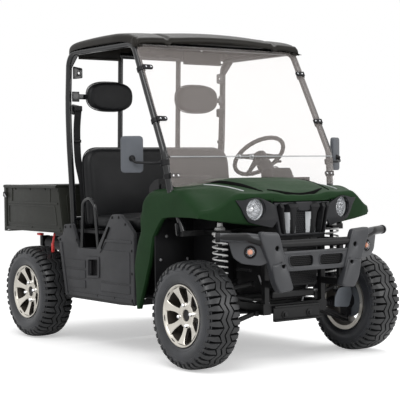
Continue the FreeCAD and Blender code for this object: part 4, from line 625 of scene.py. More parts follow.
class Shell:
    """Gathers patches of surface in millimetres and makes one finished object of them."""

    def __init__(self, name: str, twin: bool = False) -> None:
        """Start an empty shell.

        Args:
            name: the object's name.
            twin: add each patch on both sides of the vehicle.
        """
        self.name = name
        self.twin = twin
        self.blocks: list[np.ndarray] = []
        self.faces: Faces = []
        self.marks: list[int] = []
        self.finishes: list[Finish] = []
        self.count = 0

    def mark_of(self, finish: Finish) -> int:
        """The material index of a finish in this shell, which takes the finish in at its first use.

        Args:
            finish: the finish.

        Returns:
            Its index.
        """
        if finish not in self.finishes:
            self.finishes.append(finish)
        return self.finishes.index(finish)

    def add(self, points: np.ndarray, faces: Faces, finish: Finish) -> "Shell":
        """Add points and faces that count from the first of those points.

        Args:
            points: an array that ends in x, y, z.
            faces: tuples of indices into these points.
            finish: the finish of these faces.

        Returns:
            The shell itself.
        """
        flat = np.asarray(points, float).reshape(-1, 3)
        copies = [(flat, faces)]
        if self.twin:
            copies.append((flat * [-1, 1, 1], [face[::-1] for face in faces]))
        for place, sides in copies:
            self.blocks.append(place)
            self.faces += [tuple(i + self.count for i in face) for face in sides]
            self.marks += [self.mark_of(finish)] * len(sides)
            self.count += len(place)
        return self

    def grid(self, points: np.ndarray, finish: Finish, wrap_rows: bool = False,
             wrap_columns: bool = False) -> "Shell":
        """Add a grid of rows by columns of points."""
        rows, columns = points.shape[:2]
        return self.add(points, grid_faces(rows, columns, wrap_rows, wrap_columns), finish)

    def tube(self, rings: np.ndarray, finish: Finish, closed: bool = False) -> "Shell":
        """Add rings joined into a tube, with flat ends unless it is closed on itself.

        Args:
            rings: an array of rings by points by 3.
            finish: its finish.
            closed: join the last ring to the first.

        Returns:
            The shell itself.
        """
        return self.add(rings, tube_faces(*rings.shape[:2], closed), finish)

    def bar(self, route: Sequence[Sequence[float]], radius: float, finish: Finish, bend: float = 20.0,
            count: int = 16) -> "Shell":
        """Add a round bar along a route whose corners are bent by arcs.

        Args:
            route: the route's ends and corners.
            radius: the bar's radius.
            finish: its finish.
            bend: radius of the bends.
            count: points round the bar.

        Returns:
            The shell itself.
        """
        path = bent_path(route, bend) if len(route) > 2 else np.asarray(route, float)
        lean, steep_share = path[-1] - path[0], 0.8
        steep = abs(lean[2]) >= steep_share * np.linalg.norm(lean)
        reference = (0.2, 1, 0) if steep else (0, 0, 1)
        return self.tube(carried(circle(radius, count), path, reference=reference), finish)

    def block(self, centre: Sequence[float], size: Sequence[float], radius: float, finish: Finish,
              axes: np.ndarray = ALONG_FRAME) -> "Shell":
        """Add a block with rounded edges, its width, depth and height along three axes."""
        rings = block_rings(size, radius) @ axes + np.asarray(centre, float)
        return self.tube(rings, finish)

    def sheet(self, outlines: Sequence[Sequence[Sequence[float]]], origin: Sequence[float],
              axes: np.ndarray, half: float, bevel: float, finish: Finish) -> "Shell":
        """Add a flat sheet with holes, placed by an origin and the axes of its plane."""
        points, faces = cut_sheet(outlines, half, bevel)
        return self.add(points @ axes + np.asarray(origin, float), faces, finish)

    def turned(self, profile: Sequence[Sequence[float]], origin: Sequence[float], axis: Sequence[float],
               finish: Finish, steps: int = 40, flutes: np.ndarray | None = None) -> "Shell":
        """Add a profile of (along, radius) turned round an axis.

        Args:
            profile: points of the profile; a radius near zero closes the end.
            origin: the point that the profile's first number counts from.
            axis: direction of the axis.
            finish: its finish.
            steps: points round it.
            flutes: shifts along the axis, steps by profile points, for facets.

        Returns:
            The shell itself.
        """
        line = np.asarray(profile, float)
        helper = (0, 0, 1) if abs(axis[2]) < 0.9 else (1, 0, 0)
        ahead, side, up = axes_of(axis, helper)
        angle = np.linspace(0, TURN, steps, endpoint=False)[:, None, None]
        along = line[None, :, :1] if flutes is None else line[None, :, :1] + flutes[:, :, None]
        points = (np.asarray(origin, float) + along * ahead
                  + line[None, :, 1:] * (np.cos(angle) * side + np.sin(angle) * up))
        return self.grid(points, finish, wrap_rows=True)

    def plate(self, corners: Sequence[Sequence[float]], rounding: float | Sequence[float],
              origin: Sequence[float], axes: np.ndarray, half: float, bevel: float, finish: Finish,
              steps: int = 5) -> "Shell":
        """Add a flat sheet with rounded corners and no holes.

        Args:
            corners: the outline's corners in the sheet's plane.
            rounding: how far from its corner each arc starts, one for all or one for each.
            origin: the point that the plane's places count from.
            axes: the plane's axes.
            half: half of the thickness.
            bevel: radius of the rounded edges.
            finish: its finish.
            steps: points in each corner's arc.

        Returns:
            The shell itself.
        """
        return self.sheet([rounded_outline(corners, rounding, steps)], origin, axes, half, bevel, finish)

    def blocks_of(self, finish: Finish,
                  rows: Sequence[tuple[Sequence[float], Sequence[float], float]]) -> "Shell":
        """Add blocks of one finish.

        Args:
            finish: their finish.
            rows: centre, size and edge radius of each block.

        Returns:
            The shell itself.
        """
        for centre, size, radius in rows:
            self.block(centre, size, radius, finish)
        return self

    def bolts(self, places: Sequence[Sequence[float]], axis: Sequence[float], radius: float,
              finish: Finish) -> "Shell":
        """Add round-headed bolts: each a low dome on a washer.

        Args:
            places: where the heads sit.
            axis: direction that the heads face.
            radius: radius of a head.
            finish: their finish.

        Returns:
            The shell itself.
        """
        r = radius
        dome = [(-1.0, r * 1.3), (r * 0.12, r * 1.3), (r * 0.15, r), (r * 0.5, r * 0.9),
                (r * 0.72, r * 0.5), (r * 0.78, 0.02)]
        for place in places:
            self.turned(dome, place, axis, finish, 12)
        return self

    def repeat(self, points: np.ndarray, faces: Faces, finish: Finish) -> "Shell":
        """Add many copies of one small form.

        Args:
            points: an array of copies by points by 3.
            faces: the faces of one copy.
            finish: the finish of all.

        Returns:
            The shell itself.
        """
        copies, each = points.shape[:2]
        shift = (np.arange(copies) * each).tolist()
        return self.add(points, [tuple(i + s for i in face) for s in shift for face in faces], finish)

    def comb(self, low: Sequence[float], high: Sequence[float], origin: Sequence[float], axes: np.ndarray,
             pitch: float, finish: Finish) -> "Shell":
        """Add a honeycomb net over a rectangle: each cell is a ring of six flat bars round an open middle.

        Args:
            low: lowest corner in the net's plane.
            high: highest corner.
            origin: the point that the plane's places count from.
            axes: the plane's axes.
            pitch: distance between neighbouring cells.
            finish: its finish.

        Returns:
            The shell itself.
        """
        row_share, first_row, outer_share, inner_share = 0.866, 0.6, 0.578, 0.44
        rows = int((high[1] - low[1]) / (pitch * row_share))
        columns = int((high[0] - low[0]) / pitch)
        row, column = np.meshgrid(np.arange(rows), np.arange(columns), indexing="ij")
        u = low[0] + (column + 0.5 * (row % 2) + 0.5) * pitch
        v = low[1] + (row + first_row) * pitch * row_share
        middle = np.stack([u, v, 0 * u], axis=-1).reshape(-1, 1, 3)
        angle = np.radians(30 + 60 * np.arange(6))
        spoke = np.column_stack([np.cos(angle), np.sin(angle), 0 * angle])
        outer, inner = spoke * pitch * outer_share, spoke * pitch * inner_share
        lift = np.array([0, 0, 2.0])
        cell = np.vstack([outer + lift, inner + lift, inner - lift])
        return self.repeat((middle + cell[None]) @ axes + np.asarray(origin, float),
                           grid_faces(3, 6, wrap_columns=True), finish)

    def build(self, body: str, slot: str | None = None, replaces: Sequence[str] = (), crease: float = 35.0,
              thickness: float = 0.0, bevel: float = 0.0, merge: bool = True) -> bpy.types.Object:
        """Make the object, finish it with modifiers and let it ride on its body.

        Args:
            body: the CAD body that carries it.
            slot: the record's material slot; not used.
            replaces: CAD nodes that it stands for.
            crease: angle in degrees past which an edge stays sharp.
            thickness: wall that Solidify adds, half to each side, in millimetres.
            bevel: width of the bevel on sharp edges, in millimetres.
            merge: weld points that meet and make the faces point outwards.

        Returns:
            The object.
        """
        mesh = bpy.data.meshes.new(self.name)
        mesh.from_pydata((np.vstack(self.blocks) * MM).tolist(), [], self.faces)
        mesh.polygons.foreach_set("material_index", self.marks)
        for finish in self.finishes:
            mesh.materials.append(PAINTS.get(finish))
        if merge:
            working = bmesh.new()
            working.from_mesh(mesh)
            bmesh.ops.remove_doubles(working, verts=working.verts, dist=1e-6)
            bmesh.ops.recalc_face_normals(working, faces=working.faces)
            working.to_mesh(mesh)
            working.free()
        mesh.polygons.foreach_set("use_smooth", [True] * len(mesh.polygons))
        mesh.set_sharp_from_angle(angle=math.radians(crease))
        mesh.update()
        piece = bpy.data.objects.new(self.name, mesh)
        bpy.context.scene.collection.objects.link(piece)
        if thickness:
            wall = piece.modifiers.new("wall", "SOLIDIFY")
            wall.thickness = thickness * MM
            wall.offset = 0.0
            wall.use_even_offset = True
        if bevel:
            edge = piece.modifiers.new("edge", "BEVEL")
            edge.width = bevel * MM
            edge.segments = 1
            edge.limit_method = "ANGLE"
            edge.angle_limit = math.radians(crease)
            edge.harden_normals = False
        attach(piece, body)
        if replaces:
            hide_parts(*replaces)
        LOG.info("%s: %d points", self.name, len(mesh.vertices))
        return piece


# Wheels


@dataclass
class Wheel:
    """One road wheel: a lugged tyre, its alloy rim and the wheel nuts."""

    corner: str
    side: Side
    axle_y: float
    half_track: float = 573.0
    axle_z: float = 289.0
    periods: int = 22
    rubber_sink: float = -3.0
    rib_middle: float = 16.5
    rib_swing: float = 10.5
    rib_height: float = 11.4
    spokes: int = 7
    spoke_phase: float = 9.0
    rim_half: float = 95.0
    hub_recess: float = 34.0
    bolt_circle: float = 55.0
    nut_phase: float = 0.12
    notch_radius: float = 154.5

    @property
    def body(self) -> str:
        """Name of the CAD body that turns with this wheel."""
        return f"{self.corner}_wheel"

    def placed(self, x: np.ndarray, radius: np.ndarray, angle: np.ndarray) -> np.ndarray:
        """Put wheel coordinates in the frame.

        Args:
            x: distance out along the axle from the wheel's middle.
            radius: distance from the axle.
            angle: turn round the axle, from the front upwards.

        Returns:
            An array that ends in x, y, z.
        """
        x, radius, angle = np.broadcast_arrays(x, radius, angle)
        sign = self.side.value
        return np.stack([sign * (self.half_track + x), self.axle_y - radius * np.cos(angle),
                         self.axle_z + radius * np.sin(angle)], axis=-1)

    def lathe(self, shell: Shell, profile: np.ndarray, finish: Finish, steps: int = 120,
              closed: bool = True) -> None:
        """Turn a profile of (axial, radial) points round the axle.

        Args:
            shell: the shell that takes the surface.
            profile: points of the profile.
            finish: its finish.
            steps: points round the wheel.
            closed: the profile is a closed loop.
        """
        angle = np.linspace(0, TURN, steps, endpoint=False)[:, None]
        shell.grid(self.placed(profile[None, :, 0], profile[None, :, 1], angle), finish, True, closed)

    @staticmethod
    def crown(across: np.ndarray) -> tuple[np.ndarray, np.ndarray, np.ndarray, np.ndarray]:
        """The carcass's outer line: place and outward normal at a distance from the tread's middle.

        Args:
            across: signed distance along the line, in millimetres.

        Returns:
            Axial place, radius, and the two parts of the normal.
        """
        line = smooth_curve([(0, 277.5), (22, 277.2), (44, 276), (66, 273), (80, 268), (91, 258), (98, 244),
                             (101, 230)], 160)
        step = run_along(line)
        lean = np.gradient(line, axis=0)
        lean /= np.linalg.norm(lean, axis=1, keepdims=True)
        size = np.abs(across)
        x, r = np.interp(size, step, line[:, 0]), np.interp(size, step, line[:, 1])
        normal_x, normal_r = -np.interp(size, step, lean[:, 1]), np.interp(size, step, lean[:, 0])
        sign = np.sign(across)
        return sign * x, r, sign * normal_x, normal_r

    def on_crown(self, across: np.ndarray, phase: np.ndarray, height: np.ndarray) -> np.ndarray:
        """Points above the carcass, by place across the tread, phase round it and height off the rubber."""
        x, r, normal_x, normal_r = self.crown(across)
        return self.placed(x + normal_x * height, r + normal_r * height, TURN * phase / self.periods)

    def lugs(self, shell: Shell) -> None:
        """Shoulder lugs: each a tapered block laid over the shoulder, repeated round the tyre.

        Args:
            shell: the shell that takes them.
        """
        across = np.array([0.0, 0.12, 0.35, 0.6, 0.8, 1.0])
        tall = np.array([11.2, 11.2, 11.0, 10.6, 9.5, 6.5])
        sunk = np.full(len(tall), self.rubber_sink)
        # Phases of the root's edges, places of their inner ends and of the tip, phases of the tip's edges
        forms = (
            (0.04, 0.46, 44.5, 25.5, 112.0, 0.10, 0.38),
            (0.54, 0.96, 25.5, 44.5, 102.0, 0.62, 0.87),
        )
        faces = tube_faces(len(across), 4)
        for low, high, near_low, near_high, far, tip_low, tip_high in forms:
            share = across[:, None]
            start = low + (tip_low - low) * share ** 2
            end = high + (tip_high - high) * share ** 2
            phase = np.concatenate([start, start + 0.03, end - 0.03, end], axis=1)
            near = np.array([near_low, near_low + 1, near_high + 1, near_high])[None, :]
            place = near + (far - near) * share
            height = np.stack([sunk, tall, tall, sunk], axis=1)
            for sign, shift in ((1, 0.0), (-1, 0.5)):
                turns = np.arange(self.periods)[:, None, None] + shift
                still = 0 * turns
                points = self.on_crown(sign * place[None] + still, phase[None] + turns,
                                       height[None] + still)
                shell.repeat(points.reshape(self.periods, -1, 3), faces, PAINTS.TYRE)

    def ribs(self, shell: Shell) -> None:
        """Centre ribs: two closed bands whose edges run in zigzags, two corners a period.

        Args:
            shell: the shell that takes them.
        """
        corner = np.arange(2 * self.periods)[:, None]
        swing = np.where(corner % 2 == 0, self.rib_swing, -self.rib_swing)
        for middle in (-self.rib_middle, self.rib_middle):
            across = middle + swing + np.array([-13.4, -12.2, 12.2, 13.4])[None]
            height = np.array([self.rubber_sink, self.rib_height, self.rib_height,
                               self.rubber_sink])[None] + 0 * corner
            rings = self.on_crown(across, corner / 2.0 + 0 * across, height)
            shell.tube(rings, PAINTS.TYRE, closed=True)

    def make_tyre(self) -> bpy.types.Object:
        """Make the tyre: a turned carcass, ribs, lugs and the raised rings of the sidewall.

        Returns:
            The object.
        """
        shell = Shell(f"{self.corner}_tyre_skin")
        outer = smooth_curve([(0, 277.5), (44, 276), (66, 273), (80, 268), (91, 258), (98, 244),
                              (102.5, 226), (103.5, 212), (101, 194), (95, 178), (88, 168), (81, 160),
                              (78, 153)], 44)
        profile = np.vstack([outer, (outer * [-1, 1])[:0:-1]])
        self.lathe(shell, profile, PAINTS.SIDEWALL)
        tread = np.array([(-92, 257.8), (-80, 268.8), (-66, 273.8), (-44, 276.8), (0, 278.2), (44, 276.8),
                          (66, 273.8), (80, 268.8), (92, 257.8)])
        # The groove floor between the ribs and lugs, in near-black painted shade
        self.lathe(shell, tread, PAINTS.GROOVE_SHADE, closed=False)
        for sign in (1, -1):
            for x, r, half, proud in ((103.2, 216, 5, 1.1), (98.5, 186, 2.5, 1.4), (100.8, 236, 1.6, 1.2)):
                out = x + proud - 0.6
                ring = np.array([(x - 3, r - half), (out, r - half + 0.5), (out, r + half - 0.5),
                                 (x - 3, r + half)])
                self.lathe(shell, ring * [sign, 1], PAINTS.SIDEWALL)
        self.ribs(shell)
        self.lugs(shell)
        return shell.build(self.body, "tyre", [f"{self.corner}_tyre"], crease=32, bevel=0.9)

    def spoke_rings(self) -> tuple[np.ndarray, np.ndarray, np.ndarray]:
        """Cross-sections of one spoke from the hub to the lip: axial place, radius and offset across it.

        Returns:
            Three arrays of stations by eight corner points.
        """
        radius = np.array([44.0, 62.0, 80.0, 100.0, 120.0, 138.0, 149.0])
        face = np.array([-34.0, -33.0, -29.5, -23.5, -16.0, -9.5, -7.0]) + self.rim_half
        half = np.array([19.0, 16.5, 14.5, 15.5, 19.0, 25.5, 33.0])
        depth = np.array([34.0, 32.0, 28.0, 26.0, 26.0, 30.0, 34.0])
        edge, flank, root = 2.2, 9, half * 0.55
        x = np.stack([face - depth, face - depth, face - flank, face - edge, face, face, face - edge,
                      face - flank],
                     axis=1)
        y = np.stack([root, -root, -half, -half, -half + edge, half - edge, half, half], axis=1)
        r = radius[:, None] + 0 * x
        return x, r, y

    def make_rim(self) -> bpy.types.Object:
        """Make the rim: a turned barrel with its lips, spokes, a hub with an open bore and four nuts.

        Returns:
            The object.
        """
        shell = Shell(f"{self.corner}_rim_casting")
        wide = self.rim_half
        barrel = np.array([(-wide, 143), (-wide, 166), (-wide + 4, 167), (-wide + 12, 164),
                           (-wide + 18, 152), (wide - 18, 152), (wide - 12, 164), (wide - 4, 167),
                           (wide - 0.5, 165.5), (wide, 163), (wide, 160.5)])
        well = np.array([(wide - 2.5, 157.5), (wide - 9, 152), (wide - 16, 148), (wide - 30, 146),
                         (10, 138), (-30, 134), (-wide, 143)])
        self.lathe(shell, barrel, PAINTS.ALLOY, 144, closed=False)
        self.lathe(shell, np.vstack([barrel[-1], well[:3]]), PAINTS.ALLOY, 144, closed=False)
        self.lathe(shell, well[2:], PAINTS.POCKET, 144, closed=False)
        x, r, y = self.spoke_rings()
        faces = grid_faces(len(x), 8, wrap_columns=True)
        machined = (3, 4, 5)
        bright = [f for f in faces if f[0] % 8 in machined]
        dark = [f for f in faces if f[0] % 8 not in machined]
        turn = np.radians(self.spoke_phase) + TURN * np.arange(self.spokes)[:, None, None] / self.spokes
        reach = np.hypot(r, y)[None] + 0 * turn
        spokes = self.placed(x[None] + 0 * turn, reach, np.arctan2(y, r)[None] + turn)
        spokes = spokes.reshape(self.spokes, -1, 3)
        shell.repeat(spokes, bright, PAINTS.ALLOY)
        shell.repeat(spokes, dark, PAINTS.POCKET)
        face = wide - self.hub_recess
        hub = np.array([(face - 32, 31), (face - 4, 31), (face - 1, 32), (face, 34), (face + 1.5, 46),
                        (face + 1, 64), (face - 1.5, 68), (face - 12, 70), (face - 34, 66)])
        self.lathe(shell, hub, PAINTS.ALLOY, 72)
        self.notch_shade(shell)
        self.nuts(shell, face)
        return shell.build(self.body, "alloy", [f"{self.corner}_rim"], crease=30, merge=False)

    def notch_shade(self, shell: Shell) -> None:
        """Black shallow dished discs in the lip, one between each pair of spokes, as painted shade of its
        oval recesses.

        Args:
            shell: the shell that takes them.
        """
        half_turn, half_height, steps = 0.115, 3.2, 20
        angle = np.linspace(0, TURN, steps, endpoint=False)
        middle = np.radians(self.spoke_phase) + TURN * (np.arange(self.spokes) + 0.5) / self.spokes
        size = np.array([1.0, 0.86, 0.0])
        dip = np.array([0.0, -0.2, -0.3])
        around = half_turn * size[:, None] * np.cos(angle)[None] + middle[:, None, None]
        radius = (self.notch_radius + half_height * size[:, None] * np.sin(angle)[None]
                  + 0 * middle[:, None, None])
        set_back, foot_radius, rise, run = 4.2, 151, 0.9, 3
        x = self.rim_half - set_back + rise * (radius - foot_radius) / run + dip[None, :, None]
        points = self.placed(x, radius, around)
        faces = grid_faces(len(size), steps, wrap_columns=True)
        # Black discs as painted shade of the lip's oval recesses
        shell.repeat(points.reshape(self.spokes, -1, 3), faces, PAINTS.BLACK)

    def nuts(self, shell: Shell, face: float) -> None:
        """Four hexagon nuts with domed tops, and a black disc behind the hub's bore as painted shade.

        Args:
            shell: the shell that takes them.
            face: axial place of the hub's face.
        """
        ring = circle(1.0, 6)
        radius = np.array([11.0, 11.0, 10.0, 6.5, 0.5])
        out = np.array([-2.0, 11.0, 13.0, 17.0, 18.5])
        for k in range(4):
            middle = TURN * (k + self.nut_phase) / 4
            dy = self.bolt_circle * math.cos(middle) + radius[:, None] * ring[None, :, 0]
            dz = self.bolt_circle * math.sin(middle) + radius[:, None] * ring[None, :, 1]
            points = self.placed(face + out[:, None] + 0 * dy, np.hypot(dy, dz), np.arctan2(dz, dy))
            shell.grid(points, PAINTS.CHROME, wrap_columns=True)
        # A black disc closes the bore behind the hub: painted shade
        cap = np.array([(face - 26, 31.5), (face - 26, 0.5)])
        self.lathe(shell, cap, PAINTS.BLACK, 36, closed=False)

    def make(self) -> None:
        """Make the whole wheel."""
        self.make_tyre()
        self.make_rim()


# Front body


@dataclass
class FrontSkin:
    """Hood and front fenders as one moulded skin, with near-black strips as painted shade in its slots and
    slit, and pale strips as painted highlight along the fender crests.
    """

    rear_y: float = -530.0
    flat_x: float = 540.0
    half_width: float = 600.0
    shoulder: float = 44.0
    roll: float = 16.0
    half_wall: float = 4.0
    across: tuple[float, ...] = (0, 110, 200, 300, 420, 540)
    along: tuple[float, ...] = (-1100, -1050, -1000, -945, -890, -780, -700, -615, -530)
    heights: tuple[tuple[float, ...], ...] = (
        (898, 926, 948, 969, 985, 999, 1003, 1003, 1003),
        (908, 930, 948, 967, 982, 996, 1001, 1002, 1002),
        (922, 934, 948, 963, 977, 993, 998, 998, 996),
        (918, 928, 938, 949, 960, 974, 979, 979, 977),
        (918, 928, 937, 945, 951, 957, 959, 960, 960),
        (912, 924, 934, 944, 950, 952, 950, 949, 947),
    )
    corner_drop: float = 112.0
    ahead_from: float = -770.0
    ahead_span: float = 290.0
    outward_from: float = 385.0
    outward_span: float = 205.0
    slot_rise: float = 9.0
    slot_start: float = -1012.0
    slot_length: float = 462.0
    slot_edge: float = 30.0
    slot_fade: float = 110.0
    smile_rise: float = 9.0
    smile_half: float = 225.0
    smile_edge: float = 22.0
    smile_fade: float = 80.0
    columns: int = 69
    rows: int = 56
    slot_y: tuple[float, ...] = (-1050, -940, -830, -690, -560)
    slot_x: tuple[float, ...] = (236, 262, 284, 304, 314)
    smile_x: tuple[float, ...] = (0, 60, 120, 196)
    smile_y: tuple[float, ...] = (-1086, -1083, -1070, -1036)
    nose_x: tuple[float, ...] = (0, 110, 205, 300, 400, 500, 560, 600)
    nose_y: tuple[float, ...] = (-1100, -1097, -1090, -1077, -1058, -1034, -1010, -972)
    low_x: tuple[float, ...] = (0, 204, 206, 300, 430, 560, 600)
    low_z: tuple[float, ...] = (882, 882, 748, 757, 772, 792, 803)
    lamp_cut: tuple[tuple[float, float], ...] = (
        (150, 882), (262, 886), (300, 902), (350, 890), (392, 884), (420, 889), (386, 856), (362, 806),
        (338, 782), (300, 776), (150, 700))

    def front_of(self, x: np.ndarray) -> np.ndarray:
        """Where the nose's plan curve lies at a distance from the middle."""
        place = np.interp(np.abs(x).ravel(), self.nose_x, np.arange(len(self.nose_x)))
        return spline_at(np.array(self.nose_y, float)[:, None], place)[:, 0].reshape(np.shape(x))

    def step_of(self, x: np.ndarray, y: np.ndarray) -> np.ndarray:
        """Extra height inside the two slot lines and behind the smile line, which fades away from them.

        Args:
            x: places across.
            y: places along, as many.

        Returns:
            The extra heights.
        """
        size = np.abs(x)
        window = np.sin(np.pi * np.clip((y - self.slot_start) / self.slot_length, 0, 1)) ** 0.6
        inner = np.interp(y, self.slot_y, self.slot_x) - size
        side = smooth_share(inner / self.slot_edge + 0.5) * np.exp(-np.maximum(inner, 0) / self.slot_fade)
        dip = np.cos(QUARTER * np.clip(size / self.smile_half, 0, 1)) ** 0.5
        behind = y - np.interp(size, self.smile_x, self.smile_y)
        front = smooth_share(behind / self.smile_edge + 0.5) * np.exp(-np.maximum(behind,
                                                                                  0) / self.smile_fade)
        return self.slot_rise * window * side + self.smile_rise * dip * front

    def base_of(self, x: np.ndarray, y: np.ndarray) -> np.ndarray:
        """Height of the skin's top at scattered places, without the steps at its slots.

        Args:
            x: places across.
            y: places along, as many.

        Returns:
            The heights.
        """
        size = np.minimum(np.abs(x), self.flat_x)
        place_x = np.interp(size.ravel(), self.across, np.arange(len(self.across)))
        place_y = np.interp(y.ravel(), self.along, np.arange(len(self.along)))
        lines = spline_at(np.asarray(self.heights, float).T, place_y)
        weights = spline_at(np.eye(len(self.across)), place_x)
        height = (lines * weights).sum(axis=1).reshape(y.shape)
        ahead = smooth_share((self.ahead_from - y) / self.ahead_span)
        outward = smooth_share((np.abs(x) - self.outward_from) / self.outward_span)
        return height - self.corner_drop * ahead * outward

    def top_of(self, x: np.ndarray, y: np.ndarray) -> np.ndarray:
        """Height of the skin's top at scattered places."""
        return self.base_of(x, y) + self.step_of(x, y)

    def sheet(self) -> tuple[np.ndarray, int]:
        """Grid of the left half: nose wall, its rolled edge, the top and the roll down behind the shoulder.

        Returns:
            The grid and the number of rows in the nose wall.
        """
        turn = np.linspace(0, QUARTER, 9)[1:]
        width = self.half_width - self.flat_x
        x = np.concatenate([np.linspace(0, self.flat_x, self.columns), self.flat_x + width * np.sin(turn)])
        drop = np.concatenate([np.zeros(self.columns), self.shoulder * (1 - np.cos(turn))])
        front = self.front_of(x)
        share = np.linspace(0, 1, self.rows)[:, None]
        y_top = front + self.roll + share * (self.rear_y - front - self.roll)
        z_top = self.top_of(x + 0 * y_top, y_top) - drop
        lean = np.linspace(0, QUARTER, 5)[:-1, None]
        y_roll = front + self.roll * (1 - np.cos(lean))
        z_roll = z_top[:1] - self.roll * (1 - np.sin(lean))
        low = np.interp(x, self.low_x, self.low_z)
        rise = np.linspace(0, 1, 15)[:-1, None]
        z_wall = low + rise * (z_roll[:1] - low)
        wall_lean = 0.08
        y_wall = front + wall_lean * (z_roll[:1] - z_wall)
        sink = np.linspace(0, QUARTER, 8)[1:, None]
        reach_back, fall, hood_half, blend = 92, 70, 330, 16
        weight = np.clip((x - hood_half) / blend, 0, 1)
        y_rear = self.rear_y + reach_back * weight * np.sin(sink)
        z_rear = z_top[-1:] - fall * weight * (1 - np.cos(sink))
        y = np.vstack([y_wall, y_roll, y_top, y_rear])
        z = np.vstack([z_wall, z_roll, z_top, z_rear])
        return np.stack([x + 0 * y, y, z], axis=-1), len(y_wall)

    def ribbon(self, shoulder: np.ndarray) -> np.ndarray:
        """Side skin from the shoulder's edge to the wheel arch, with a lip turned inwards along the arch.

        Args:
            shoulder: points of the shoulder's edge, front to rear.

        Returns:
            A grid from the shoulder's edge down to the lip.
        """
        rear_edge = smooth_curve([shoulder[-1, 1:], (-417, 786), (-421, 715), (-390, 650), (-362, 560),
                                  (-352, 497), (-360, 442), (-367, 360), (-373, 279)], 26)[1:]
        outer = np.vstack([shoulder[:, 1:], rear_edge])
        arch = smooth_curve([(-972, 803), (-900, 806), (-800, 806), (-700, 803), (-641, 796), (-612, 776),
                             (-589, 751), (-560, 716), (-534, 682)], 120)
        length, place = run_along(shoulder[:, 1:]), run_along(arch)
        wanted = length / length[-1] * place[-1]
        near = np.column_stack([np.interp(wanted, place, arch[:, 0]), np.interp(wanted, place, arch[:, 1])])
        low_arch = smooth_curve([(-534, 682), (-520, 630), (-509, 579), (-492, 525), (-475, 490),
                                 (-460, 448), (-440, 400), (-412, 340), (-385, 279)], 26)[1:]
        inner = np.vstack([near, low_arch])
        share = np.array([0, 0.12, 0.3, 0.5, 0.7, 0.9, 0.985, 1.0, 1.0])
        x = self.half_width + np.array([0, 1.2, 2.0, 2.4, 2.0, 1.6, 0.8, -6.0, -22.0])
        flat = outer[:, None] + share[None, :, None] * (inner - outer)[:, None]
        return np.concatenate([np.broadcast_to(x[None, :, None], (*flat.shape[:2], 1)), flat], axis=2)

    def inlay(self, shell: Shell, path: Sequence[Sequence[float]], half: float, finish: Finish) -> None:
        """Lay a tapered strip over the skin along a path seen from above.

        Args:
            shell: the shell that takes it.
            path: points of the path, as (x, y).
            half: half width at its middle.
            finish: its finish.
        """
        line = smooth_curve(path, 70)
        ahead = np.gradient(line, axis=0)
        ahead /= np.linalg.norm(ahead, axis=1, keepdims=True)
        side = np.column_stack([-ahead[:, 1], ahead[:, 0]])
        tip = 0.02
        taper = np.sin(np.linspace(tip, math.pi - tip, len(line))) ** 0.6
        spread = np.array([-1.0, -0.86, -0.4, 0.0, 0.4, 0.86, 1.0])
        lift = self.half_wall + np.array([-3.0, 3.4, 4.0, 4.2, 4.0, 3.4, -3.0])
        place = line[:, None] + side[:, None] * (half * spread[None] * taper[:, None])[..., None]
        z = self.top_of(place[..., 0], place[..., 1]) + lift
        shell.grid(np.concatenate([place, z[..., None]], axis=2), finish)

    def make(self) -> None:
        """Make the skin and its inlays."""
        points, wall_rows = self.sheet()
        rows, columns = points.shape[:2]
        faces = grid_faces(rows, columns)
        middle = points.reshape(-1, 3)[np.array(faces)].mean(axis=1)
        nose_end = -1000
        inside = in_outline(middle[:, [0, 2]], self.lamp_cut) & (middle[:, 1] < nose_end)
        kept = [face for face, cut_out in zip(faces, inside.tolist()) if not cut_out]
        skin = Shell("front_skin", twin=True)
        skin.add(points, kept, PAINTS.GREEN)
        skin.grid(self.ribbon(points[wall_rows:, -1]), PAINTS.GREEN)
        skin.build("chassis", "body_green", ["hood", "fenders"], crease=50, thickness=2 * self.half_wall)
        shade_and_highlight = Shell("hood_slots", twin=True)
        # Near-black strips as painted shade in the recessed slots beside the hood
        self.inlay(shade_and_highlight, list(zip(self.slot_x, self.slot_y)), 14.0, PAINTS.PAINTED_SHADE)
        # Pale silver strips as painted highlight where the fender crests catch the light
        self.inlay(shade_and_highlight, [(332, -1010), (342, -910), (352, -810), (364, -690)], 4.6, PAINTS.SILVER)
        shade_and_highlight.build("chassis", "black_plastic", crease=60)
        # Near-black strip as painted shade in the slit across the nose
        smile = Shell("hood_smile")
        half = list(zip(self.smile_x, self.smile_y))
        path = [(-x, y) for x, y in half[::-1]] + half[1:]
        self.inlay(smile, path, 11.0, PAINTS.PAINTED_SHADE)
        smile.build("chassis", "black_plastic", crease=60)


def in_outline(places: np.ndarray, outline: Sequence[Sequence[float]]) -> np.ndarray:
    """Tell which places lie inside a closed outline, by the crossings of a ray to one side.

    Args:
        places: an array of places in the plane.
        outline: corners of the outline.

    Returns:
        One true or false for each place.
    """
    corner = np.asarray(outline, float)
    other = np.roll(corner, -1, axis=0)
    u, v = places[:, :1], places[:, 1:]
    spans = (corner[None, :, 1] > v) != (other[None, :, 1] > v)
    rise = other[:, 1] - corner[:, 1]
    rise = np.where(rise == 0, 1e-9, rise)
    meets = corner[:, 0] + (v - corner[:, 1]) / rise * (other[:, 0] - corner[:, 0])
    return (spans & (u < meets)).sum(axis=1) % 2 == 1


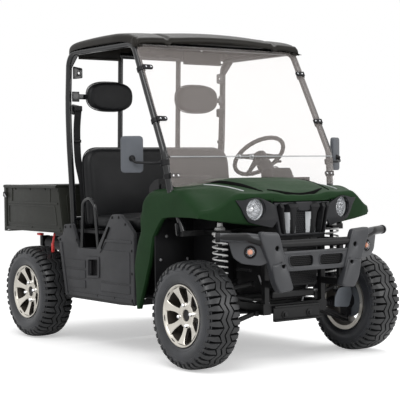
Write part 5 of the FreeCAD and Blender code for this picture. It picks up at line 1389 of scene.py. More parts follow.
@dataclass
class FrontFace:
    """Grille, headlights and their bezels."""

    skin: FrontSkin
    lamp: tuple[float, float, float] = (307.0, -1044.0, 843.0)
    lamp_radius: float = 60.0
    back: tuple[float, float, float] = (-0.2, 0.98, 0.0)
    face: float = -1098.0

    def make_bezels(self) -> None:
        """Angular dark bezels that follow the nose's curve round each headlight."""
        hole = circle(self.lamp_radius - 3, 48) + np.array([self.lamp[0], self.lamp[2]])
        outline = rounded_outline([(196, 866), (168, 786), (205, 742), (296, 762), (350, 776), (376, 812),
                                   (394, 850), (428, 894), (384, 892), (345, 901), (300, 906), (262, 896)],
                                  9)
        points, faces = cut_sheet([outline, hole[::-1]], 7.0, 1.5)
        shell = Shell("lamp_bezels", twin=True)
        y = self.skin.front_of(points[:, 0]) - 3.0 + 0.05 * (870 - points[:, 1]) - points[:, 2]
        shell.add(np.column_stack([points[:, 0], y, points[:, 1]]), faces, PAINTS.BEZEL)
        tube = [(-26, 62), (-14, 62), (4, 63), (30, 60), (62, 50)]
        shell.turned(tube, (self.lamp[0], self.lamp[1] - 6, self.lamp[2]), self.back, PAINTS.BEZEL, 64)
        shell.build("chassis", "black_plastic", crease=40)

    def make_lamps(self) -> None:
        """Headlights: a fluted bright bowl, a bulb shade, a pale ring and a domed clear lens."""
        x, y, z = self.lamp
        r = self.lamp_radius
        shell = Shell("headlight_bowls", twin=True)
        bowl = np.array([(0, r - 4), (6, r - 6), (20, r * 0.8), (36, r * 0.58), (50, r * 0.34),
                         (56, r * 0.2), (57, 0.3)])
        steps = 96
        wave = np.abs(np.sin(np.linspace(0, 12 * math.pi, steps, endpoint=False)))
        flutes = wave[:, None] * np.array([0, 5.0, 8.0, 7.0, 3.0, 0, 0])[None]
        shell.turned(bowl, (x, y, z), self.back, PAINTS.CHROME, steps, flutes)
        ring = [(2, r - 5), (-5, r - 4), (-8, r - 1), (-7, r + 3), (0, r + 5), (8, r + 4)]
        shell.turned(ring, (x, y, z), self.back, PAINTS.SILVER, 72)
        shade = [(12, 12), (8, 13), (5, 11), (4, 6), (4, 0.3)]
        shell.turned(shade, (x, y, z), self.back, PAINTS.CHROME, 32)
        for turn in (0.4, 2.5, 4.6):
            shell.bar([(x + 11 * math.cos(turn), y + 10, z + 11 * math.sin(turn)),
                       (x + 46 * math.cos(turn), y + 18, z + 46 * math.sin(turn))], 1.8, PAINTS.STEEL,
                      count=8)
        shell.build("chassis", "lamp_lens", ["headlights"], crease=28)
        lens = Shell("headlight_lenses", twin=True)
        dome = [(-3, r - 3), (-8, r * 0.86), (-12, r * 0.66), (-15, r * 0.4), (-16, r * 0.2), (-16.3, 0.3)]
        lens.turned(smooth_curve(dome, 16), (x, y, z), self.back, PAINTS.LENS, 64)
        lens.build("chassis", "lamp_lens", crease=60)

    def make_grille(self) -> None:
        """Grille: a bevelled frame, a honeycomb net, wedge blades with silver flanks and a cap on top."""
        face = self.face
        plane = FACING_FRONT
        shell = Shell("grille_face")
        outer = rounded_outline([(-198, 876), (-160, 694), (160, 694), (198, 876)], 10)
        mouth = rounded_outline([(-180, 862), (-147, 708), (147, 708), (180, 862)], 12)
        shell.sheet([outer, mouth[::-1]], (0, face + 12, 0), plane, 13, 3.5, PAINTS.BEZEL)
        shell.plate([(-184, 866), (-150, 702), (150, 702), (184, 866)], 8, (0, face + 30, 0), plane, 2.5,
                    0.8, PAINTS.BLACK)
        shell.comb((-172, 704), (172, 862), (0, face + 22, 0), plane, 13.0, PAINTS.BEZEL)
        shell.build("chassis", "graphite_plastic", ["grille"], crease=35)
        blades = Shell("grille_blades")
        for x_top, x_low, wide in ((-158, -134, 14), (-76, -70, 41), (76, 70, 41), (140, 122, 13),
                                   (170, 144, 11)):
            self.blade(blades, x_top, x_low, wide, silver=wide > 20)
        blades.plate([(-58, 878), (-46, 838), (-30, 829), (30, 829), (46, 838), (58, 878)], 9,
                     (0, face - 6, 0), plane, 10, 3.5, PAINTS.BEZEL)
        blades.build("chassis", "graphite_plastic", crease=32)

    def blade(self, shell: Shell, x_top: float, x_low: float, wide: float, silver: bool) -> None:
        """One upright wedge blade: a dark nose with flanks that run back to the net.

        Args:
            shell: the shell that takes it.
            x_top: its middle at the top.
            x_low: its middle at the foot.
            wide: half of its width at the back.
            silver: give the flanks bright inlays.
        """
        share = np.array([0.0, 0.04, 0.14, 0.3, 0.6, 0.85, 0.98, 1.0])
        z = 872 - share * 166
        x = x_top + (x_low - x_top) * share
        proud = np.array([4.0, 18.0, 27.0, 21.0, 16.0, 12.0, 8.0, 2.0])
        nose = np.array([0.5, 0.8, 0.75, 0.45, 0.32, 0.26, 0.22, 0.2]) * wide
        taper = 0.22
        half = wide * (1 - taper * share)
        u = np.stack([-half, -nose, -nose * 0.6, nose * 0.6, nose, half], axis=1)
        v = np.stack([0 * z + 20, -proud + 4, -proud, -proud, -proud + 4, 0 * z + 20], axis=1)
        rings = np.stack([x[:, None] + u, self.face + v, z[:, None] + 0 * u], axis=-1)
        shell.tube(rings, PAINTS.BLACK)
        if silver:
            pick, clear = slice(3, 7), 1.2
            for sign in (-1, 1):
                back = x[pick] + sign * (half[pick] + clear)
                near = x[pick] + sign * (nose[pick] + clear)
                strip = np.stack([np.column_stack([back, 0 * back + self.face + 17, z[pick]]),
                                  np.column_stack([near, self.face - proud[pick] + 7, z[pick]])], axis=1)
                shell.grid(strip, PAINTS.SILVER)

    def make(self) -> None:
        """Make the whole front face."""
        self.make_bezels()
        self.make_lamps()
        self.make_grille()


@dataclass
class Bumper:
    """Front bumper: bent tube, moulded uprights, wings with round lamps, and the plate with its nets."""

    tube_y: float = -1190.0
    sweep: tuple[float, float, float] = (0.936, 0.352, 0.0)
    pod_back: tuple[float, float, float] = (-0.352, 0.936, 0.0)
    wing_foot: tuple[float, float, float] = (320.0, -1190.0, 0.0)
    pod: tuple[float, float, float] = (411.0, -1160.0, 626.0)

    def upright(self, shell: Shell) -> None:
        """One moulded upright cover: an upper part, a proud lower block and two holes with black rims, each
        closed behind by a near-black disc as painted shade.

        Args:
            shell: the shell that takes it.
        """
        y = self.tube_y
        high = rounded_outline([(200, 522), (304, 508), (384, 706), (376, 732), (266, 724), (254, 704)],
                               [6, 6, 14, 12, 14, 14])
        low = rounded_outline([(172, 425), (188, 414), (262, 406), (296, 462), (316, 556), (220, 570)],
                              [10, 12, 14, 20, 16, 16])
        hole_high, hole_low = circle(11, 24) + [275, 642], circle(11, 24) + [241, 550]
        shell.sheet([high, hole_high[::-1]], (0, y - 8, 0), FACING_FRONT, 22, 10, PAINTS.BUMPER)
        shell.sheet([low, hole_low[::-1]], (0, y - 12, 0), FACING_FRONT, 28, 10, PAINTS.BUMPER)
        shell.block((268, y - 6, 545), (86, 40, 70), 12, PAINTS.BUMPER)
        for place in ((275, y - 28, 642), (241, y - 38, 550)):
            shell.turned([(0, 11), (-1.5, 12.5), (-3, 14), (0, 15.5)], place, (0, -1, 0), PAINTS.BLACK, 28)
            # A near-black disc behind each hole: painted shade
            shell.turned([(6, 11.2), (6, 0.2)], place, (0, 1, 0), PAINTS.PAINTED_SHADE, 24)

    def wing(self, shell: Shell) -> None:
        """Swept wing plate beside the upright, with a dished seat for the lamp and the bar above it.

        Args:
            shell: the shell that takes it.
        """
        outline = np.array([(296, 582), (352, 552), (452, 566), (496, 598), (518, 684), (440, 704),
                            (300, 690)],
                           float)
        outline[:, 0] = (outline[:, 0] - self.wing_foot[0]) / self.sweep[0]
        outline = rounded_outline(outline, [10, 20, 18, 20, 12, 20, 10])
        hole = circle(30, 36) + [(self.pod[0] - self.wing_foot[0]) / self.sweep[0], self.pod[2]]
        shell.sheet([outline, hole[::-1]], self.wing_foot, axes_of(self.sweep, (0, 0, 1)), 8, 3.5,
                    PAINTS.BUMPER)
        shell.turned([(5, 0.2), (5, 22), (-4, 27), (-9, 30), (-7, 34), (-2, 36)], self.pod, self.pod_back,
                     PAINTS.BLACK, 40)
        shell.bar([(575, -1108, 706), (445, self.tube_y + 18, 704), (330, self.tube_y + 2, 690)], 24,
                  PAINTS.BUMPER, 60, 20)

    def make_covers(self) -> None:
        """Make the moulded covers and the lamps."""
        covers = Shell("bumper_mouldings", twin=True)
        self.upright(covers)
        self.wing(covers)
        covers.build("chassis", "graphite_plastic", ["bumper_covers"], crease=32)
        lamps = Shell("indicator_pods", twin=True)
        lens = [(2, 23.5), (-8, 23), (-14, 19), (-18, 12), (-19.5, 5), (-19.8, 0.2)]
        lamps.turned(smooth_curve(lens, 16), self.pod, self.pod_back, PAINTS.LENS, 40)
        bulb = [(2, 15), (-4, 14), (-8, 11), (-11, 6), (-12, 0.2)]
        lamps.turned(bulb, self.pod, self.pod_back, PAINTS.AMBER, 32)
        lamps.build("chassis", "amber_lens", ["indicator_lamps"], crease=50)

    def make_tube(self) -> None:
        """The bent cross tube with end caps and the stays that carry it."""
        shell = Shell("bumper_tube")
        y = self.tube_y
        shell.bar([(585, -1105, 706), (450, y + 15, 706), (300, y, 660), (-300, y, 660),
                   (-450, y + 15, 706), (-585, -1105, 706)], 22, PAINTS.FRAME, 70, 24)
        for sign in (1, -1):
            shell.turned([(-14, 23), (-12, 25.5), (6, 25.5), (9, 23), (10, 14), (10.5, 0.2)],
                         (sign * 583, -1107, 706), (sign * 0.85, 0.53, 0), PAINTS.BLACK, 28)
            for z in (660, 438):
                shell.block((sign * 200, -1112, z), (30, 156, 36), 4, PAINTS.FRAME)
            shell.block((sign * 200, y + 15, 545), (30, 30, 240), 5, PAINTS.FRAME)
        shell.build("chassis", "frame_black", ["bumper_frame"], crease=40)

    def make_plates(self) -> None:
        """The plate between the uprights with two netted windows, and the lower front plate."""
        y = self.tube_y
        shell = Shell("bumper_plate")
        outline = rounded_outline([(-204, 516), (204, 516), (238, 622), (-238, 622)], [10, 10, 14, 14])
        windows = [rounded_outline([(-184, 538), (-22, 538), (-22, 598), (-196, 598)], 24, 8),
                   rounded_outline([(22, 538), (184, 538), (196, 598), (22, 598)], 24, 8)]
        holes = [w if np.sign(np.cross(w[1] - w[0], w[2] - w[1])) < 0 else w[::-1] for w in windows]
        shell.sheet([outline, *holes], (0, y - 12, 0), FACING_FRONT, 7, 3, PAINTS.BUMPER)
        for window in windows:
            middle = window.mean(axis=0)
            rim = np.column_stack([window[:, 0], 0 * window[:, 0] + y - 20, window[:, 1]])
            shell.tube(carried(circle(3.0, 8), rim, closed=True, reference=(0, 1, 0)), PAINTS.BUMPER,
                       closed=True)
            shell.block((middle[0], y + 4, middle[1]), (170, 3, 60), 1, PAINTS.BLACK)
            shell.comb((middle[0] - 84, 538), (middle[0] + 84, 600), (0, y - 10, 0), FACING_FRONT, 11.5,
                       PAINTS.FRAME)
        shell.block((0, y - 17, 612), (440, 8, 8), 3, PAINTS.BUMPER)
        shell.build("chassis", "graphite_plastic", ["bumper_plates"], crease=32)
        low = Shell("lower_front_plate")
        low.blocks_of(PAINTS.FRAME, (((0, -1042, 275), (330, 10, 86), 4),
                                     ((0, -1050, 311), (330, 20, 12), 4),
                                     ((0, -1050, 236), (330, 20, 10), 4)))
        for x in (-88, 88):
            low.turned([(2, 21), (-3, 21), (-5, 18), (-5, 12), (-12, 11), (-13, 9), (-13, 0.2)],
                       (x, -1048, 265), (0, 1, 0), PAINTS.FRAME, 28)
        low.build("chassis", "frame_black", crease=35)

    def make(self) -> None:
        """Make the whole bumper."""
        self.make_tube()
        self.make_covers()
        self.make_plates()


# Cage, roof and cab


@dataclass
class Cage:
    """Tube cage with its brackets, windshield clamps and belts."""

    radius: float = 19.0
    bend: float = 90.0
    rear_y: float = 377.0
    top_z: float = 1771.0
    lean: float = 0.0335
    belt_z: float = 760.0
    headrest_z: float = 1507.0
    pillar: tuple[tuple[float, float, float], ...] = ((577, -676, 944), (596, -645, 1158),
                                                      (578, -330, 1771))

    def rear_at(self, z: float) -> float:
        """Place of the leaning rear hoop along Y at a height."""
        return self.rear_y + self.lean * (self.top_z - z)

    def make_tubes(self) -> None:
        """Side hoops from the cowl over the roof to the rear frame, and the bars across."""
        sides = Shell("cage_hoops", twin=True)
        hoop = [(560, -775, 724), *self.pillar, (584, 384, 1771), (587, 396, 1500)]
        leg = [(587, 396, 1480), (586, 398, 1380), (580, 400, 1200), (566, 404, 980), (552, 412, 740),
               (545, 424, 316)]
        path = np.vstack([bent_path(hoop, self.bend, 14), smooth_curve(leg, 24)])
        sides.tube(carried(circle(self.radius, 28), path, reference=(1, 0.02, 0.01)), PAINTS.CAGE)
        belt_y = self.rear_at(self.belt_z)
        inner = [(220, belt_y, self.belt_z), (220, self.rear_y, self.top_z - 4)]
        sides.bar(inner, self.radius - 3, PAINTS.CAGE, count=24)
        sides.build("chassis", "cage_black", ["cage_left", "cage_right"], crease=50)
        across = Shell("cage_bars")
        for half, y, z, radius in ((545, self.rear_y, self.top_z, self.radius),
                                   (540, belt_y, self.belt_z, 16), (566, -296, self.top_z, 16)):
            across.bar([(-half, y, z), (half, y, z)], radius, PAINTS.CAGE, count=24)
        across.build("chassis", "cage_black", ["cage_crossbars"], crease=50)

    def make_brackets(self) -> None:
        """Headrest bars, the drilled upper bracket and gussets in the upper corners."""
        shell = Shell("cage_brackets", twin=True)
        z = self.headrest_z
        y = self.rear_at(z) - 24
        shell.blocks_of(PAINTS.CAGE, (((396, y, z), (372, 7, 32), 2.5), ((556, y, z), (50, 9, 62), 4),
                                      ((222, y + 14, z), (26, 22, 34), 4)))
        tab = rounded_outline([(512, 1620), (576, 1612), (576, 1690), (512, 1680)], 8)
        hole = circle(8, 20) + [536, 1650]
        shell.sheet([tab, hole[::-1]], (0, 355, 0), FACING_FRONT, 4, 1.2, PAINTS.CAGE)
        anchor = [(520, 1400), (578, 1396), (578, 1462), (520, 1452)]
        shell.plate(anchor, 10, (0, 372, 0), FACING_FRONT, 4, 1.2, PAINTS.CAGE)
        shell.bolts([(544, 366, 1428)], (0, -1, 0), 9, PAINTS.STEEL)
        gusset = [(262, 1764), (372, 1764), (380, 1676), (366, 1672)]
        shell.plate(gusset, [6, 4, 6, 8], (584, 0, 0), FACING_LEFT, 3, 1, PAINTS.CAGE)
        foot = [(525, 700), (592, 700), (600, 770), (540, 780)]
        shell.plate(foot, 10, (0, -752, 0), FACING_FRONT, 5, 1.5, PAINTS.CAGE)
        shell.build("chassis", "cage_black", crease=35)

    def make_clamps(self) -> None:
        """Windshield clamps: a band round the pillar and a rounded tab on the pane, held by two screws."""
        shell = Shell("windshield_clamp_set", twin=True)
        low, middle, high = np.array(self.pillar, float)
        for z in (1618, 1325, 1022):
            start, end = (middle, high) if z > middle[2] else (low, middle)
            along = (end - start) / (end - start)[2]
            place = start + along * (z - start[2])
            ahead = along / np.linalg.norm(along)
            band = [(-13, 19.2), (-13, 22.5), (-11, 24), (11, 24), (13, 22.5), (13, 19.2)]
            shell.turned(band, place, ahead, PAINTS.BLACK, 32)
            plane = axes_of((1, 0, 0), ahead)
            out = -plane[2] if plane[2][1] > 0 else plane[2]
            origin = place + out * 30
            shell.plate([(-60, -13), (6, -15), (6, 15), (-60, 13)], [12, 4, 4, 12], origin, plane, 5.5, 2.2,
                        PAINTS.BLACK, 6)
            heads = [origin + out * 5 + plane[0] * u for u in (-46, -14)]
            shell.bolts(heads, out, 4, PAINTS.CHROME)
        shell.build("chassis", "black_plastic", ["windshield_clamps"], crease=32)

    def make_belts(self) -> None:
        """Belt reels, webbing that hangs along the rear hoops, and the buckles by the seat."""
        shell = Shell("seat_belts", twin=True)
        line = smooth_curve([(544, 352, 1436), (548, 366, 1300), (540, 370, 1120), (522, 352, 980),
                             (506, 352, 820), (500, 360, 742)], 60)
        band = np.array([(-22, 0), (-21.5, 1.2), (0, 1.6), (21.5, 1.2), (22, 0), (21.5, -1.2), (0, -1.6),
                         (-21.5, -1.2)])
        shell.tube(carried(band, line, reference=(0.25, -1, 0)), PAINTS.WEBBING)
        shell.blocks_of(PAINTS.BLACK, (((545, 352, 1434), (52, 18, 34), 6),
                                       ((545, 366, 1236), (50, 14, 20), 5),
                                       ((500, 372, 712), (64, 46, 74), 8)))
        stalk = smooth_curve([(70, 214, 700), (72, 190, 770), (74, 170, 838)], 16)
        shell.tube(carried(rectangle(9, 3), stalk, reference=(0, 1, 0)), PAINTS.WEBBING)
        shell.block((74, 166, 860), (34, 18, 56), 6, PAINTS.BLACK)
        shell.block((74, 165, 884), (18, 12, 12), 3, PAINTS.RED)
        shell.build("chassis", "black_plastic", crease=35)

    def make(self) -> None:
        """Make the whole cage."""
        self.make_tubes()
        self.make_brackets()
        self.make_clamps()
        self.make_belts()


@dataclass
class Roof:
    """Moulded roof: crowned middle, two grooves, rolled edges, corner flanges and rear visors."""

    half_width: float = 606.0
    front_y: float = -402.0
    rear_y: float = 425.0
    shoulder_z: float = 1836.0
    front_bow: float = 26.0
    corner_start: float = 230.0
    corner_back: float = 52.0
    corner_fall: float = 14.0

    def make_skin(self) -> None:
        """The roof's skin over a grid of curved lines."""
        across = [(0, 25), (110, 23.5), (210, 20), (330, 13), (372, 11), (386, 4), (396, -2), (412, -2),
                  (424, 4), (440, 7.5), (520, 5.5), (570, 2), (586, -1), (598, -8), (604, -17), (606, -30),
                  (606, -45)]
        line = smooth_curve(across, 110)
        share = np.concatenate([np.linspace(0, 0.16, 14), np.linspace(0.16, 1, 50)[1:]])
        drop = spline_at(np.array([[42.0], [26], [11.5], [4.5], [0], [0], [4.5], [11], [22]]),
                         np.interp(share, (0, 0.05, 0.12, 0.2, 0.3, 0.5, 0.7, 0.84, 1), np.arange(9)))[:, 0]
        y = self.front_y + share * (self.rear_y - self.front_y)
        bow = self.front_bow * (line[:, 0] / self.half_width) ** 2
        front_part, rear_draw, front_draw = 0.3, 0.035, 0.03
        front_weight = np.clip(1 - share / front_part, 0, 1)[:, None]
        points = np.stack([line[None, :, 0] + 0 * y[:, None],
                           y[:, None] + front_weight * bow[None],
                           self.shoulder_z + line[None, :, 1] - drop[:, None]], axis=-1)
        size = np.abs(points[..., 0]) / self.half_width
        rear_share = (points[..., 1] - self.corner_start) / (self.rear_y - self.corner_start)
        rear_weight = np.clip(rear_share, 0, 1) ** 3
        points[..., 1] -= self.corner_back * rear_weight * size ** 4
        points[..., 2] -= self.corner_fall * rear_weight * size ** 4
        points[..., 0] *= 1 - rear_draw * rear_weight - front_draw * front_weight
        shell = Shell("roof_skin", twin=True)
        lowest, fade_span = -45, 40
        fade = np.clip((line[:, 1] - lowest) / fade_span, 0, 1)[None, :, None]
        lip = points[:1] + fade * np.array([[0.0, -4, -8], [0, -4, -20], [0, -1, -30]])[:, None]
        rear = points[-1:] + fade * np.array([[0.0, 5, -5], [0, 8, -14], [0, 8, -26]])[:, None]
        shell.grid(np.concatenate([lip[::-1], points, rear]), PAINTS.ROOF)
        shell.build("chassis", "roof_plastic", ["roof"], crease=50, thickness=7)

    def make_fittings(self) -> None:
        """Rear visors, the flanges that wrap the pillar tops and the pads on the tubes."""
        shell = Shell("roof_fittings", twin=True)
        shell.blocks_of(PAINTS.ROOF, (((270, 388, 1796), (540, 10, 56), 4),
                                      ((390, 349, 1776), (300, 8, 84), 3.5),
                                      ((390, 341, 1744), (300, 22, 10), 4)))
        plane = axes_of((1, 0, 0), (-18, 315, 613))
        shell.block((570, -346, 1772), (54, 52, 64), 14, PAINTS.ROOF,
                    np.array([plane[0], -plane[2], plane[1]]))
        shell.blocks_of(PAINTS.ROOF, (((580, 0, 1800), (28, 600, 24), 6),
                                      ((556, 344, 1798), (52, 52, 40), 14),
                                      ((0, -330, 1792), (700, 60, 18), 6)))
        shell.build("chassis", "roof_plastic", crease=35)
        clip = Shell("roof_catch")
        clip.block((60, -100, 1822), (120, 60, 14), 5, PAINTS.SILVER)
        clip.turned([(0, 14), (14, 14), (18, 10), (40, 9), (46, 5), (47, 0.2)], (60, -100, 1818),
                    (0, 0, -1), PAINTS.CHROME, 28)
        clip.build("chassis", "bare_steel", crease=35)

    def make(self) -> None:
        """Make the whole roof."""
        self.make_skin()
        self.make_fittings()


@dataclass
class Windshield:
    """Two clear panes with polished edges, the seam between them and its hinge studs."""

    half_width: float = 588.0
    fold: tuple[float, float] = (-686.0, 1128.0)
    lean: float = 27.2
    foot_lean: float = 8.0
    height: float = 717.0

    def plane(self, lean: float) -> np.ndarray:
        """Axes of a pane that leans back by an angle."""
        turn = math.radians(lean)
        return axes_of((1, 0, 0), (0, math.sin(turn), math.cos(turn)))

    def make(self) -> None:
        """Make both panes and their fittings."""
        y, z = self.fold
        wide = self.half_width
        panes = Shell("windshield_panes")
        upper = [(-wide, 4), (wide, 4), (wide, self.height), (-wide, self.height)]
        foot = [(0, 119), (200, 124), (300, 138), (420, 160), (wide, 170)]
        foot = [(-x, -drop) for x, drop in foot[::-1]] + [(x, -drop) for x, drop in foot[1:]]
        lower = [*foot, (wide, -4), (-wide, -4)]
        panes.plate(upper, [4, 4, 60, 60], (0, y, z), self.plane(self.lean), 2.4, 0.7, PAINTS.PANE, 8)
        panes.plate(lower, [40, *[60] * 7, 40, 4, 4], (0, y, z), self.plane(self.foot_lean), 2.4, 0.7,
                    PAINTS.PANE, 6)
        panes.build("chassis", "pane", ["windshield"], crease=40)
        seam = Shell("windshield_seam")
        seam.block((0, y - 4, z), (2 * wide - 8, 5, 7), 1.6, PAINTS.SEAM)
        for x in (-112, -20):
            seam.turned([(0, 8), (4, 8), (7, 6), (8, 0.2)], (x, y - 5, z), (0, -1, 0), PAINTS.STEEL, 20)
            seam.block((x, y + 2, z - 2), (30, 5, 26), 2, PAINTS.SEAM)
        seam.build("chassis", "pane", crease=35)


@dataclass
class Mirrors:
    """Side mirrors: rounded heads on bent stems with ball joints."""

    centre: tuple[float, float, float] = (737.0, -545.0, 1143.0)
    toe: float = 30.0

    def make(self) -> None:
        """Make both mirrors."""
        turn = math.radians(self.toe)
        axes = np.array([(math.cos(turn), math.sin(turn), 0), (-math.sin(turn), math.cos(turn), 0),
                         (0, 0, 1)])
        centre = np.array(self.centre)
        shell = Shell("mirror_heads", twin=True)
        plane = np.array([axes[0], axes[2], -axes[1]])
        outline = rounded_outline(rectangle(61, 100), 24, 8)
        shell.sheet([outline], centre, plane, 11, 6, PAINTS.MIRROR_BACK)
        shell.sheet([outline * 0.9], centre + axes[1] * 10.5, plane, 1.5, 0.6, PAINTS.MIRROR)
        joint = centre - axes[1] * 14 + np.array([0, 0, -22])
        shell.turned([(0, 18), (6, 17), (10, 12), (16, 11), (22, 8), (24, 0.2)], joint + axes[1] * 4,
                     -axes[1], PAINTS.BLACK, 28)
        shell.bar([joint - axes[1] * 8, joint - axes[1] * 30 + [-16, 0, -22], (668, -640, 1094),
                   (600, -652, 1096)], 7,
                  PAINTS.BLACK, 24, 16)
        shell.turned([(-16, 24), (-14, 26), (14, 26), (16, 24)], (594, -649, 1096), (0.02, 0.14, 0.99),
                     PAINTS.BLACK, 32)
        shell.build("chassis", "black_plastic", ["mirrors"], crease=35)


def oval_outline(half_u: float, half_v: float, count: int, power: float = 2.7) -> np.ndarray:
    """A superellipse: an oval with fuller corners than an ellipse.

    Args:
        half_u: half of its width.
        half_v: half of its height.
        count: number of points.
        power: how full its corners are; 2 gives an ellipse.

    Returns:
        An array of points in the plane.
    """
    angle = np.linspace(0, TURN, count, endpoint=False)
    u, v = np.cos(angle), np.sin(angle)
    return np.column_stack([half_u * np.sign(u) * np.abs(u) ** (2 / power),
                            half_v * np.sign(v) * np.abs(v) ** (2 / power)])


def points_of(mesh: bpy.types.Mesh) -> np.ndarray:
    """Places of a mesh's points, as an array of points by 3.

    Args:
        mesh: the mesh.

    Returns:
        The places.
    """
    places = np.empty(len(mesh.vertices) * 3)
    mesh.vertices.foreach_get("co", places)
    return places.reshape(-1, 3)


@dataclass
class Pad:
    """A stuffed seat part: a rounded block that a short cloth run swells between held seams.

    Sizes are in millimetres. Voxel is the net's pitch, cap the farthest that cloth may swell, and bow the
    height of its crown across.
    """

    name: str
    centre: tuple[float, float, float]
    size: tuple[float, float, float]
    corners: tuple[float, float, float, float]
    edge: float
    axes: np.ndarray
    voxel: float
    cap: float
    seam_inset: float
    node: str
    bow: float = 0.0
    oval: bool = False

    def start(self) -> tuple[np.ndarray, Faces]:
        """Rings of a rounded slab that draw in towards both faces.

        Returns:
            The points in the pad's own axes and the faces.
        """
        u, v, w = (n / 2 for n in self.size)
        turn = np.linspace(0, QUARTER, 7)
        inset = self.edge * (1 - np.sin(turn))
        level = np.concatenate([-w + self.edge * (1 - np.cos(turn)),
                                w - self.edge * (1 - np.cos(turn[::-1]))])
        rings = []
        for pull, height in zip(np.concatenate([inset, inset[::-1]]), level):
            a, b = u - pull, v - pull
            if self.oval:
                ring = oval_outline(a, b, 56)
            else:
                ring = rounded_outline(rectangle(a, b), np.maximum(np.array(self.corners) - pull, 4.0), 14)
            rings.append(np.column_stack([ring, np.full(len(ring), height)]))
        points = np.array(rings)
        points[..., 2] += self.bow * (1 - (points[..., 0] / u) ** 2)
        return points.reshape(-1, 3), tube_faces(*points.shape[:2])

    def remeshed(self) -> bpy.types.Mesh:
        """The start shape as an even net of quads, still in the pad's own axes.

        Returns:
            The net.
        """
        points, faces = self.start()
        mesh = bpy.data.meshes.new(self.name)
        mesh.from_pydata((points * MM).tolist(), [], faces)
        holder = bpy.data.objects.new(f"{self.name}_start", mesh)
        bpy.context.scene.collection.objects.link(holder)
        net = holder.modifiers.new("net", "REMESH")
        net.mode = "VOXEL"
        net.voxel_size = self.voxel * MM
        soften = holder.modifiers.new("soften", "SMOOTH")
        soften.iterations = 6
        made = bpy.data.meshes.new_from_object(holder.evaluated_get(bpy.context.evaluated_depsgraph_get()))
        bpy.data.objects.remove(holder)
        return made

    def held(self, flat: np.ndarray) -> np.ndarray:
        """Which points of the net stay put: the back face and the seam that runs round the front face.

        Args:
            flat: the net's points in the pad's own axes, in millimetres.

        Returns:
            One true or false for each point.
        """
        u, v, w = (n / 2 for n in self.size)
        inset = np.minimum(u - np.abs(flat[:, 0]), v - np.abs(flat[:, 1]))
        seam_reach, back_depth = 0.55, 4
        seam = np.abs(inset - self.seam_inset) < self.voxel * seam_reach
        side = flat[:, 2] - self.bow * (1 - (flat[:, 0] / u) ** 2)
        back = side < -w + back_depth
        return back | (seam & (side > 0))

    def swell(self, mesh: bpy.types.Mesh) -> None:
        """Swell the net by a cloth run with inner pressure and move its points there, up to the cap.

        Args:
            mesh: the net, which is changed.
        """
        rest = points_of(mesh)
        holder = bpy.data.objects.new(f"{self.name}_run", mesh.copy())
        bpy.context.scene.collection.objects.link(holder)
        pins = holder.vertex_groups.new(name="held")
        pins.add(np.flatnonzero(self.held(rest / MM)).tolist(), 1.0, "REPLACE")
        cloth = holder.modifiers.new("cloth", "CLOTH")
        settings = cloth.settings
        settings.quality = 5
        settings.mass = 0.25
        settings.tension_stiffness = settings.compression_stiffness = 12.0
        settings.bending_stiffness = 1.5
        settings.use_pressure = True
        settings.uniform_pressure_force = 4.0
        settings.vertex_group_mass = "held"
        settings.effector_weights.gravity = 0.0
        cloth.point_cache.frame_start, cloth.point_cache.frame_end = 1, LAST_FRAME
        scene = bpy.context.scene
        for frame in range(1, LAST_FRAME + 1):
            scene.frame_set(frame)
        done = holder.evaluated_get(bpy.context.evaluated_depsgraph_get())
        step = points_of(done.data) - rest
        length = np.linalg.norm(step, axis=1, keepdims=True)
        step *= np.minimum(1.0, self.cap * MM / np.maximum(length, 1e-9))
        mesh.vertices.foreach_set("co", (rest + step).ravel())
        bpy.data.objects.remove(holder)
        scene.frame_set(1)

    def make(self, finish: Finish) -> bpy.types.Object:
        """Make the pad: net, cloth run, one level of subdivision.

        Args:
            finish: its finish.

        Returns:
            The object.
        """
        mesh = self.remeshed()
        self.swell(mesh)
        placed = points_of(mesh) @ self.axes + np.array(self.centre) * MM
        mesh.vertices.foreach_set("co", placed.ravel())
        mesh.materials.clear()
        mesh.materials.append(PAINTS.get(finish))
        mesh.polygons.foreach_set("use_smooth", [True] * len(mesh.polygons))
        mesh.update()
        piece = bpy.data.objects.new(self.name, mesh)
        bpy.context.scene.collection.objects.link(piece)
        rounding = piece.modifiers.new("rounding", "SUBSURF")
        rounding.levels = rounding.render_levels = 1
        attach(piece, "chassis")
        if self.node:
            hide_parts(self.node)
        LOG.info("%s: %d points", self.name, len(mesh.vertices))
        return piece


